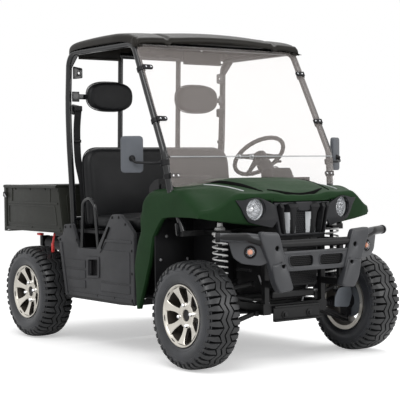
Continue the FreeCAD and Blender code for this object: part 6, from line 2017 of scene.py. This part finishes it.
@dataclass
class Seats:
    """Bench cushion, leaning backrest and two headrests, with piping along their seams."""

    back_lean: float = 6.1
    back_centre: tuple[float, float, float] = (0.0, 283.0, 955.0)
    head_x: float = 330.0
    head_z: float = 1511.0

    def make(self) -> None:
        """Make all pads and the trim that joins them."""
        turn = math.radians(self.back_lean)
        back_axes = np.array([(1, 0, 0), (0, math.sin(turn), math.cos(turn)),
                              (0, -math.cos(turn), math.sin(turn))])
        cushion = Pad("seat_cushion_pad", (0, -46, 748), (1088, 492, 84), (60, 60, 36, 36), 34, ALONG_FRAME,
                      12.0, 13.0, 50.0, "seat_cushion")
        back = Pad("seat_back_pad", self.back_centre, (1090, 484, 74), (40, 40, 110, 110), 32, back_axes,
                   12.0, 12.0, 52.0, "seat_back")
        for pad in (cushion, back):
            pad.make(PAINTS.VINYL)
        for side in Side:
            name = f"headrest_{side.name.lower()}_pad"
            Pad(name, (side.value * self.head_x, 334, self.head_z), (326, 182, 50), (88, 88, 88, 88), 24,
                FACING_FRONT, 7.0, 9.0, 26.0, "headrests" if side is Side.LEFT else "", bow=7.0,
                oval=True).make(PAINTS.VINYL)
        self.make_piping(back_axes)

    def make_piping(self, back_axes: np.ndarray) -> None:
        """Piping round the headrests and the backrest, and the posts of the headrests.

        Args:
            back_axes: the backrest's own axes.
        """
        shell = Shell("seat_trim", twin=True)
        ring = oval_outline(163, 91, 72)
        path = np.column_stack([ring[:, 0] + self.head_x, 0 * ring[:, 0] + 345, ring[:, 1] + self.head_z])
        shell.tube(carried(circle(3.0, 8), path, closed=True, reference=(0, 1, 0)), PAINTS.VINYL,
                   closed=True)
        shell.block((self.head_x, 366, 1507), (120, 12, 60), 4, PAINTS.BLACK)
        shell.build("chassis", "seat_vinyl", crease=50)
        rim = Shell("backrest_trim")
        outline = rounded_outline(rectangle(546, 243), [44, 44, 114, 114], 14)
        local = np.column_stack([outline, np.full(len(outline), -12.0)])
        path = local @ back_axes + np.array(self.back_centre)
        rim.tube(carried(circle(3.4, 8), path, closed=True, reference=(0, 1, 0)), PAINTS.VINYL, closed=True)
        rim.build("chassis", "seat_vinyl", crease=50)


@dataclass
class Controls:
    """Steering wheel, dash details, the levers by the seat and the pedals."""

    centre: tuple[float, float, float] = (330.0, -312.0, 1133.0)
    tilt: float = 42.4
    ring_radius: float = 162.0

    @property
    def axis(self) -> np.ndarray:
        """Direction of the steering column, from the dash towards the driver."""
        return np.array([0, math.sin(math.radians(self.tilt)), math.cos(math.radians(self.tilt))])

    def make_wheel(self) -> None:
        """Steering wheel: a padded ring with finger waves, a hub cover and three spokes."""
        axis = self.axis
        right, up = np.array([1.0, 0, 0]), np.array([0, axis[2], -axis[1]])
        centre = np.array(self.centre)
        shell = Shell("steering_wheel_ring")
        angle = np.linspace(0, TURN, 120, endpoint=False)
        path = centre + self.ring_radius * (np.cos(angle)[:, None] * right + np.sin(angle)[:, None] * up)
        waves, swing = 24, 0.05
        grip = 1 + swing * np.cos(waves * angle)
        shell.tube(carried(circle(13, 14), path, closed=True, reference=axis, scale=grip), PAINTS.GRIP,
                   closed=True)
        cover = [(-26, 0.3), (-26, 40), (-6, 46), (6, 44), (13, 36), (16, 20), (17, 0.3)]
        shell.turned(cover, centre, axis, PAINTS.BLACK, 48)
        shell.turned([(-62, 12), (-20, 14)], centre, axis, PAINTS.FRAME, 24)
        spoke = [(30, -26), (110, -15), (160, -17), (160, 17), (110, 15), (30, 26)]
        for aim in (0, math.pi, QUARTER):
            ahead = math.cos(aim) * right + math.sin(aim) * up
            plane = np.array([ahead, np.cross(axis, ahead), axis])
            shell.plate(spoke, 12, centre - axis * 3, plane, 6, 3, PAINTS.BLACK)
        shell.build("steering_wheel", "black_plastic", ["steering_wheel"], crease=40)

    def make_pod(self) -> None:
        """Instrument pod, column shroud, knobs, the pad before the passenger, levers and pedals."""
        shell = Shell("dash_details")
        pod = [(-548, 1000), (-428, 990), (-424, 1034), (-444, 1060), (-520, 1062)]
        shell.plate(pod, [10, 10, 14, 18, 26], (330, 0, 0), FACING_LEFT, 84, 16, PAINTS.BLACK, 6)
        shell.turned([(0, 48), (6, 50), (8, 46), (4, 42)], (330, -436, 1030), (0, 0.74, 0.67), PAINTS.FRAME,
                     40)
        shell.turned([(-150, 40), (-90, 46), (-60, 44), (-52, 30)], self.centre, self.axis, PAINTS.BLACK,
                     36)
        shell.bar([(330, -372, 1068), (430, -352, 1092), (452, -346, 1098)], 5, PAINTS.BLACK, 20, 12)
        shell.block((460, -344, 1100), (34, 16, 16), 6, PAINTS.BLACK)
        bump = [(-530, 1000), (-450, 1000), (-468, 1024), (-508, 1026)]
        shell.plate(bump, 12, (-330, 0, 0), FACING_LEFT, 150, 10, PAINTS.BLACK, 6)
        shell.block((-300, -532, 905), (480, 6, 150), 2, PAINTS.BLACK)
        for x in (-40, 10, 60, 110):
            shell.turned([(0, 14), (3, 15), (6, 11), (8, 0.2)], (x, -428, 930), (0, 1, 0), PAINTS.FRAME, 24)
        shell.turned([(0, 26), (4, 28), (8, 22), (10, 0.2)], (180, -428, 930), (0, 1, 0), PAINTS.STEEL, 32)
        shell.build("chassis", "black_plastic", crease=35)
        levers = Shell("cab_levers")
        levers.bar([(30, -330, 700), (30, -300, 880), (24, -292, 912)], 6, PAINTS.STEEL, 30, 12)
        levers.turned(smooth_curve([(0, 6), (4, 16), (18, 19), (32, 14), (38, 0.3)], 14), (24, -292, 906),
                      (0, 0.1, 1), PAINTS.BLACK, 24)
        levers.bar([(-64, -320, 712), (-64, -300, 850)], 5.5, PAINTS.STEEL, count=12)
        levers.block((-64, -298, 868), (26, 20, 60), 9, PAINTS.BLACK)
        levers.build("chassis", "bare_steel", crease=40)
        pedals = Shell("pedals")
        for x, wide in ((250, 70), (380, 52)):
            axes = axes_of((1, 0, 0), (0, 0.5, 0.86))
            pedals.block((x, -640, 480), (wide, 80, 10), 3, PAINTS.BLACK, axes)
            pedals.bar([(x, -648, 488), (x, -700, 600), (x, -740, 700)], 7, PAINTS.FRAME, 30, 12)
        pedals.build("chassis", "black_plastic", crease=35)

    def make(self) -> None:
        """Make all controls."""
        self.make_wheel()
        self.make_pod()


# Flanks, running gear and bed


@dataclass
class SidePanels:
    """Moulded panels below the doorway: skin with a framed window, ridges, embossed lines and screws."""

    x: float = 600.0

    def make(self) -> None:
        """Make both panels and the hip rails."""
        side = FACING_LEFT
        shell = Shell("side_panel_skins", twin=True)
        outline = rounded_outline([(-335, 290), (-200, 283), (420, 283), (440, 300), (511, 616), (545, 640),
                                   (470, 664), (452, 728), (359, 735), (286, 592), (70, 592), (-100, 802),
                                   (-185, 806), (-262, 760), (-335, 700)],
                                  [12, 8, 10, 10, 12, 6, 14, 10, 12, 16, 20, 22, 26, 26, 20], 6)
        window = rounded_outline([(51, 437), (161, 430), (159, 526), (48, 532)], 8)
        shell.sheet([outline, window[::-1]], (self.x - 15, 0, 0), side, 14, 6, PAINTS.GRAPHITE)
        frame = rounded_outline([(36, 424), (176, 415), (174, 540), (33, 548)], 10)
        shell.sheet([frame, window[::-1]], (self.x + 1, 0, 0), side, 4.5, 2.2, PAINTS.GRAPHITE)
        shell.block((self.x - 24, 105, 482), (6, 120, 110), 2, PAINTS.BLACK)
        shell.block((self.x - 6, 134, 482), (16, 8, 78), 3, PAINTS.BLACK)
        ridges = (
            (4.6, [(407, 300), (432, 292), (504, 610), (478, 620)]),
            (3.6, [(-318, 302), (396, 302), (392, 322), (-318, 322)]),
            (4.2, [(-318, 640), (-40, 640), (24, 572), (40, 580), (-28, 656), (-318, 656)]),
            (4.4, [(-298, 352), (16, 352), (16, 398), (-298, 398)]),
            (4.4, [(196, 352), (404, 352), (414, 398), (196, 398)]),
            (4.4, [(196, 412), (418, 412), (428, 458), (196, 458)]),
            (4.4, [(196, 472), (432, 472), (442, 518), (196, 518)]),
            (4.4, [(-298, 412), (16, 412), (16, 560), (-12, 590), (-298, 590)]),
        )
        for proud, corners in ridges:
            shell.plate(corners, 7, (self.x - 2 + proud / 2, 0, 0), side, proud / 2 + 1.2, 1.1,
                        PAINTS.GRAPHITE)
        # Near-black block as painted shade in the diagonal slot
        shell.block((self.x + 1.5, -35, 662), (6, 15, 158), 2.6, PAINTS.PAINTED_SHADE,
                    axes_of((1, 0, 0), (0, 0.82, 0.572)))
        shell.block((self.x - 62, 155, 580), (110, 200, 26), 8, PAINTS.GRAPHITE)
        places = [(self.x + 0.5, y, z) for y, z in ((-316, 318), (-316, 470), (-316, 600), (-250, 748),
                                                    (-180, 786), (-110, 784), (300, 640), (372, 716),
                                                    (436, 712), (500, 634), (418, 318), (60, 318),
                                                    (-130, 318))]
        shell.bolts(places, (1, 0, 0), 6.5, PAINTS.FRAME)
        shell.build("chassis", "graphite_plastic", ["side_panels"], crease=32)
        rails = Shell("hip_rail_loops", twin=True)
        x = self.x - 15
        route = [(x, 258, 588), (x, 240, 870), (x, 160, 894), (x, 104, 850), (x, 68, 588)]
        rails.tube(carried(circle(10.5, 18), bent_path(route, 46, 10), reference=(1, 0, 0)), PAINTS.CAGE)
        rails.build("chassis", "cage_black", ["hip_rails"], crease=50)
        steps = Shell("underside_trim", twin=True)
        steps.bar([(590, -330, 300), (590, 420, 300)], 13, PAINTS.FRAME, count=16)
        steps.block((470, -545, 560), (250, 8, 430), 3, PAINTS.BLACK)
        steps.bolts([(420, -552, 700), (520, -552, 690), (560, -552, 560), (380, -552, 560)], (0, -1, 0), 7,
                    PAINTS.STEEL)
        steps.build("chassis", "frame_black", crease=35)


@dataclass
class Shocks:
    """Coil-over shocks: damper body, rod, cups and a real coil."""

    def one(self, shell: Shell, foot: tuple[float, float, float], length: float, turns: int,
            radius: float) -> None:
        """One shock that stands on its foot.

        Args:
            shell: the shell that takes it.
            foot: lower eye's place.
            length: height over all.
            turns: turns of the coil.
            radius: the coil's mean radius.
        """
        up = (0, 0, 1)
        low, high, wire = 40.0, length - 66, 4.6
        body = [(0, 0.3), (0, 15), (24, 16), (26, radius + 4), (34, radius + 5), (40, radius + 2), (42, 22),
                (high * 0.52, 22), (high * 0.52 + 2, 12), (high, 11)]
        shell.turned(body, foot, up, PAINTS.BLACK, 36)
        cap = [(high, 12), (high, radius + 3), (high + 8, radius + 5), (high + 14, radius + 3),
               (high + 18, 30), (high + 40, 27), (high + 46, 16), (length, 15), (length, 0.3)]
        shell.turned(cap, foot, up, PAINTS.SPRING, 36)
        angle = np.linspace(0, TURN * turns, 30 * turns + 1)
        rise = low + 6 + (high - low - 10) * angle / angle[-1]
        coil = np.column_stack([foot[0] + radius * np.cos(angle), foot[1] + radius * np.sin(angle),
                                foot[2] + rise])
        shell.tube(carried(circle(wire, 10), coil), PAINTS.SPRING)

    def make(self) -> None:
        """Make the four shocks."""
        shell = Shell("shock_coils", twin=True)
        self.one(shell, (400, -885, 402), 368, 8, 39)
        self.one(shell, (240, 830, 322), 277, 7, 35)
        shell.build("chassis", "spring_steel", ["shocks"], crease=45)


@dataclass
class Running:
    """Running gear details: shaft boots, brake guards, tie bars and the radiator."""

    def make(self) -> None:
        """Make the details round the front axle and the engine."""
        shell = Shell("drive_line", twin=True)
        boot = [(0, 14)]
        for k in range(5):
            boot += [(8 + 12 * k, 34 - 3 * k), (14 + 12 * k, 24 - 2 * k)]
        boot += [(76, 12), (220, 12)]
        shell.turned(boot, (412, -890, 290), (-1, 0, -0.06), PAINTS.BLACK, 28)
        shell.bar([(189, -950, 479), (116, -950, 314)], 5.5, PAINTS.STEEL, count=14)
        shell.block((330, -1000, 520), (16, 120, 16), 4, PAINTS.FRAME)
        shell.bar([(238, -960, 350), (372, -923, 379)], 11, PAINTS.FRAME, count=16)
        guard = [(358, 268), (468, 260), (494, 328), (480, 380), (394, 374), (364, 328)]
        shell.plate(guard, 14, (0, -950, 0), FACING_FRONT, 4, 1.5, PAINTS.CASTING_LIGHT)
        shell.build("chassis", "frame_black", crease=40)
        radiator = Shell("radiator")
        radiator.block((0, -1012, 540), (330, 26, 250), 6, PAINTS.BLACK)
        for k in range(24):
            radiator.block((0, -1027, 428 + 9.6 * k), (290, 5, 3), 1, PAINTS.FRAME)
        radiator.block((0, -1000, 372), (300, 40, 40), 8, PAINTS.FRAME)
        radiator.build("chassis", "frame_black", crease=40)
        for side in Side:
            sign = side.value
            guard = Shell(f"{side.name.lower()}_brake_guard")
            guard.turned([(0, 0.3), (0, 92), (4, 96), (10, 96), (14, 90), (14, 40)],
                         (sign * 528, -890, 289), (sign, 0, 0), PAINTS.CASTING_LIGHT, 48)
            guard.build(f"{side.name.lower()}_knuckle", "engine_metal", crease=35)


@dataclass
class Bed:
    """Tilting cargo bed: pressed side walls, rolled rails, ribbed floor, corner posts and latches."""

    half: float = 590.0
    front_top: float = 541.0
    gate_y: float = 1236.0
    rail_z: float = 956.0

    def make_walls(self) -> None:
        """Side walls with pressed fields and rolled rails."""
        side = FACING_LEFT
        shell = Shell("bed_walls", twin=True)
        wall = [(477, 670), (1262, 670), (1262, 966), (541, 966)]
        shell.plate(wall, 6, (self.half - 6, 0, 0), side, 6, 1.6, PAINTS.BED)
        field = rounded_outline([(548, 712), (1200, 712), (1200, 840), (574, 840)], 16, 6)
        inner = rounded_outline([(560, 722), (1190, 722), (1190, 830), (582, 830)], 12, 6)
        shell.sheet([field, inner[::-1]], (self.half + 1.0, 0, 0), side, 2.4, 1.6, PAINTS.BED)
        for y in (640, 1150):
            shell.block((self.half + 1, y, 902), (5, 16, 84), 2.2, PAINTS.BED)
        lip = np.array([(20, -8), (24, 2), (20, 10), (0, 12), (-12, 8), (-15, -2), (-14, -22), (-9, -26),
                        (-4, -22), (-4, -4), (0, -8)])
        rail = np.array([(self.half - 4, y, self.rail_z)
                         for y in np.linspace(self.front_top - 4, self.gate_y + 4, 12)])
        shell.tube(carried(lip, rail), PAINTS.BED)
        x = self.half + 2
        shell.blocks_of(PAINTS.BED, (((x, 870, 852), (6, 660, 12), 3), ((x, 872, 684), (6, 740, 16), 3),
                                     ((x, 1240, 810), (8, 34, 300), 3.5)))
        shell.block((self.half + 6, 1242, 903), (14, 34, 34), 5, PAINTS.BLACK)
        shell.bar([(self.half + 12, 1236, 906), (self.half + 12, 1216, 884)], 5, PAINTS.STEEL, count=12)
        shell.bolts([(self.half, y, z) for y, z in ((520, 700), (540, 930), (700, 940), (900, 940),
                                                    (1100, 940), (1210, 700), (880, 696))], (1, 0, 0), 6,
                    PAINTS.BED)
        shell.build("cargo_bed", "bed_olive", ["bed_tub"], crease=32)

    def make_floor(self) -> None:
        """Floor with pressed ribs, the leaning front wall and its headboard rail."""
        shell = Shell("bed_floor")
        shell.block((0, 858, 679), (1160, 760, 18), 4, PAINTS.BED)
        shell.block((0, 1245, 662), (1150, 32, 8), 3, PAINTS.BED)
        for k in range(9):
            shell.block((-480 + 120 * k, 862, 689), (52, 640, 8), 3.4, PAINTS.BED)
        lean = axes_of((1, 0, 0), (0, 64, 300))
        foot = (0, 483, 670)
        shell.plate(rectangle(584, 152, (0, 152)), 8, foot, lean, 6, 1.8, PAINTS.BED)
        for x in (-380, 0, 380):
            field = rounded_outline(rectangle(160, 95, (x, 145)), 18)
            inner = field + (field.mean(axis=0) - field) * 0.06
            shell.sheet([field, inner[::-1]], foot, lean, 8.0, 1.6, PAINTS.BED)
        shell.bar([(-586, 545, 962), (586, 545, 962)], 12, PAINTS.BED, count=20)
        for sign in (1, -1):
            shell.bar([(sign * 584, 1245, 686), (sign * 556, 1245, 686)], 5, PAINTS.STEEL, count=14)
        shell.build("cargo_bed", "bed_olive", crease=32)
        controls = Shell("bed_levers")
        controls.bar([(-560, 640, 662), (-560, 662, 600), (-558, 668, 560)], 7, PAINTS.RED, 20, 14)
        controls.block((-557, 669, 572), (22, 16, 62), 7, PAINTS.RED)
        controls.block((-558, 829, 652), (30, 46, 16), 6, PAINTS.RED)
        controls.build("cargo_bed", "bed_olive", crease=40)

    def make_gate(self) -> None:
        """Tailgate with framed fields, a rolled top rail, latch handle and lower hinge barrel."""
        front = FACING_FRONT
        shell = Shell("gate_panel")
        half = self.half - 18
        y = 1252
        shell.plate(rectangle(half, 142, (0, 822)), 6, (0, y, 0), front, 8, 2, PAINTS.BED)
        for x, wide in ((-(half + 160) / 2, (half - 260) / 2), (0, 180),
                        ((half + 160) / 2, (half - 260) / 2)):
            field = rounded_outline(rectangle(wide, 94, (x, 816)), 18)
            inner = rounded_outline(rectangle(wide - 12, 82, (x, 816)), 12)
            shell.sheet([field, inner[::-1]], (0, y + 9, 0), front, 2.6, 1.6, PAINTS.BED)
        shell.block((0, y, 956), (2 * half, 28, 18), 7, PAINTS.BED)
        shell.block((0, y + 12, 930), (150, 14, 26), 5, PAINTS.BLACK)
        shell.bar([(-half + 4, y, 686), (half - 4, y, 686)], 9, PAINTS.BED, count=18)
        shell.build("tailgate", "bed_olive", ["tailgate"], crease=32)

    def make_lights(self) -> None:
        """Tail lamps below the bed's rear corners and the reflectors beside them."""
        shell = Shell("tail_lamps", twin=True)
        shell.block((360, 1128, 590), (60, 40, 70), 6, PAINTS.BLACK)
        shell.block((360, 1150, 590), (48, 10, 56), 5, PAINTS.RED)
        shell.block((250, 1150, 560), (14, 8, 60), 3, PAINTS.FRAME)
        shell.build("chassis", "amber_lens", crease=35)

    def make(self) -> None:
        """Make the whole bed."""
        self.make_walls()
        self.make_floor()
        self.make_gate()
        self.make_lights()


# Studio


@dataclass
class Studio:
    """Camera at the photograph's place, soft lamps, a pale floor and a white surround."""

    eye: tuple[float, float, float] = (-4.3989, -6.2456, 1.0699)
    yaw: float = 35.82
    pitch: float = -1.51
    roll: float = -0.59
    lens: float = 112.15
    sensor: float = 36.0
    surround: float = 0.62
    floor_tone: float = 0.93
    floor_glow: float = 0.42
    reach: float = 40.0

    def make_camera(self) -> None:
        """Set up the camera from its heading, pitch and roll."""
        yaw, pitch, roll = (math.radians(a) for a in (self.yaw, self.pitch, self.roll))
        ahead = Vector((math.sin(yaw) * math.cos(pitch), math.cos(yaw) * math.cos(pitch), math.sin(pitch)))
        right = Vector((math.cos(yaw), -math.sin(yaw), 0.0))
        up = right.cross(ahead)
        right_rolled = right * math.cos(roll) + up * math.sin(roll)
        up_rolled = up * math.cos(roll) - right * math.sin(roll)
        camera = bpy.data.objects.new("camera", bpy.data.cameras.new("camera"))
        camera.data.lens = self.lens
        camera.data.sensor_width = self.sensor
        turn = Matrix((right_rolled, up_rolled, -ahead)).transposed()
        camera.matrix_world = Matrix.Translation(self.eye) @ turn.to_4x4()
        camera.data.clip_start, camera.data.clip_end = 0.1, 60.0
        bpy.context.scene.collection.objects.link(camera)
        bpy.context.scene.camera = camera

    def make_lamp(self, name: str, place: tuple[float, float, float], size: float, power: float,
                  aim: tuple[float, float, float] = (0.0, 0.0, 0.7)) -> None:
        """Add one square soft lamp that faces a point.

        Args:
            name: the lamp's name.
            place: where it hangs, in metres.
            size: side of the square in metres.
            power: watts.
            aim: the point that it faces.
        """
        light = bpy.data.lights.new(name, "AREA")
        light.shape = "SQUARE"
        light.size = size
        light.energy = power
        lamp = bpy.data.objects.new(name, light)
        lamp.location = place
        lamp.rotation_mode = "QUATERNION"
        lamp.rotation_quaternion = (Vector(place) - Vector(aim)).to_track_quat("Z", "Y")
        bpy.context.scene.collection.objects.link(lamp)

    def make_world(self) -> None:
        """A grey surround for light, seen as white by the camera, in gloss and through glass."""
        world = bpy.data.worlds.new("surround")
        bpy.context.scene.world = world
        board = NodeBoard(world)
        path = board.add("ShaderNodeLightPath")
        seen = board.add("ShaderNodeMath", operation="MAXIMUM")
        either = board.add("ShaderNodeMath", operation="MAXIMUM")
        lit, white = board.add("ShaderNodeBackground"), board.add("ShaderNodeBackground")
        for light, strength in ((lit, self.surround), (white, 1.0)):
            light.inputs["Color"].default_value = CLEAR_WHITE
            light.inputs["Strength"].default_value = strength
        mix = board.add("ShaderNodeMixShader")
        out = board.add("ShaderNodeOutputWorld")
        board.join(path, "Is Camera Ray", seen, 0)
        board.join(path, "Is Transmission Ray", seen, 1)
        board.join(seen, 0, either, 0)
        board.join(path, "Is Glossy Ray", either, 1)
        board.join(either, 0, mix, "Fac")
        board.join(lit, 0, mix, 1)
        board.join(white, 0, mix, 2)
        board.join(mix, 0, out, "Surface")

    def make_floor(self) -> None:
        """A wide pale floor that goes up to white for the camera and keeps the vehicle's shadow."""
        mesh = bpy.data.meshes.new("floor")
        mesh.from_pydata([(x, y, 0) for x, y in rectangle(self.reach, self.reach)], [], [(0, 1, 2, 3)])
        floor = bpy.data.objects.new("floor", mesh)
        bpy.context.scene.collection.objects.link(floor)
        material = bpy.data.materials.new("floor_paint")
        board = NodeBoard(material)
        path = board.add("ShaderNodeLightPath")
        paint = board.add("ShaderNodeBsdfDiffuse")
        paint.inputs["Color"].default_value = (self.floor_tone, self.floor_tone, self.floor_tone, 1)
        glow = board.add("ShaderNodeEmission")
        glow.inputs["Strength"].default_value = self.floor_glow
        both = board.add("ShaderNodeAddShader")
        mix = board.add("ShaderNodeMixShader")
        out = board.add("ShaderNodeOutputMaterial")
        board.join(paint, 0, both, 0)
        board.join(glow, 0, both, 1)
        board.join(path, "Is Camera Ray", mix, "Fac")
        board.join(paint, 0, mix, 1)
        board.join(both, 0, mix, 2)
        board.join(mix, 0, out, "Surface")
        mesh.materials.append(material)

    def make(self) -> None:
        """Set up the whole studio."""
        bpy.context.scene.view_settings.view_transform = "Standard"
        self.make_camera()
        self.make_world()
        self.make_floor()
        self.make_lamp("key_lamp", (-3.2, -3.4, 4.6), 3.0, 125.0)
        self.make_lamp("top_lamp", (1.2, 1.0, 5.2), 3.5, 110.0)
        self.make_lamp("front_lamp", (2.6, -5.2, 2.2), 2.2, 55.0)


# Carried-over CAD nodes


NODE_FINISHES: dict[str, Finish] = {
    "main_frame": PAINTS.FRAME, "front_frame": PAINTS.FRAME, "footwell_tub": PAINTS.BLACK,
    "dash": PAINTS.BLACK, "seat_base": PAINTS.BLACK, "steering_column": PAINTS.FRAME,
    "tie_rods": PAINTS.STEEL, "front_left_knuckle": PAINTS.CASTING, "front_right_knuckle": PAINTS.CASTING,
    "front_arms": PAINTS.FRAME, "rear_axle": PAINTS.CASTING, "engine": PAINTS.CASTING,
    "bed_frame": PAINTS.FRAME,
}


def paint_nodes(nodes: dict[str, bpy.types.Object]) -> None:
    """Give every CAD node that stays in view its own finish.

    Args:
        nodes: the CAD nodes by name.
    """
    for name, finish in NODE_FINISHES.items():
        mesh = nodes[name].data
        mesh.materials.clear()
        mesh.materials.append(PAINTS.get(finish))


def main() -> None:
    """Load the frame, build every sub-assembly in order and set up the studio."""
    logging.basicConfig(level=logging.INFO, format="%(name)s: %(message)s")
    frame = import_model()
    Studio().make()
    paint_nodes(frame["nodes"])
    for corner, side, axle_y in (("front_left", Side.LEFT, -890.0), ("front_right", Side.RIGHT, -890.0),
                                 ("rear_left", Side.LEFT, 830.0), ("rear_right", Side.RIGHT, 830.0)):
        Wheel(corner, side, axle_y).make()
    skin = FrontSkin()
    for part in (skin, FrontFace(skin), Bumper(), Cage(), Roof(), Windshield(), Mirrors(), Seats(),
                 Controls(), SidePanels(), Shocks(), Running(), Bed()):
        part.make()


if __name__ == "__main__":
    main()
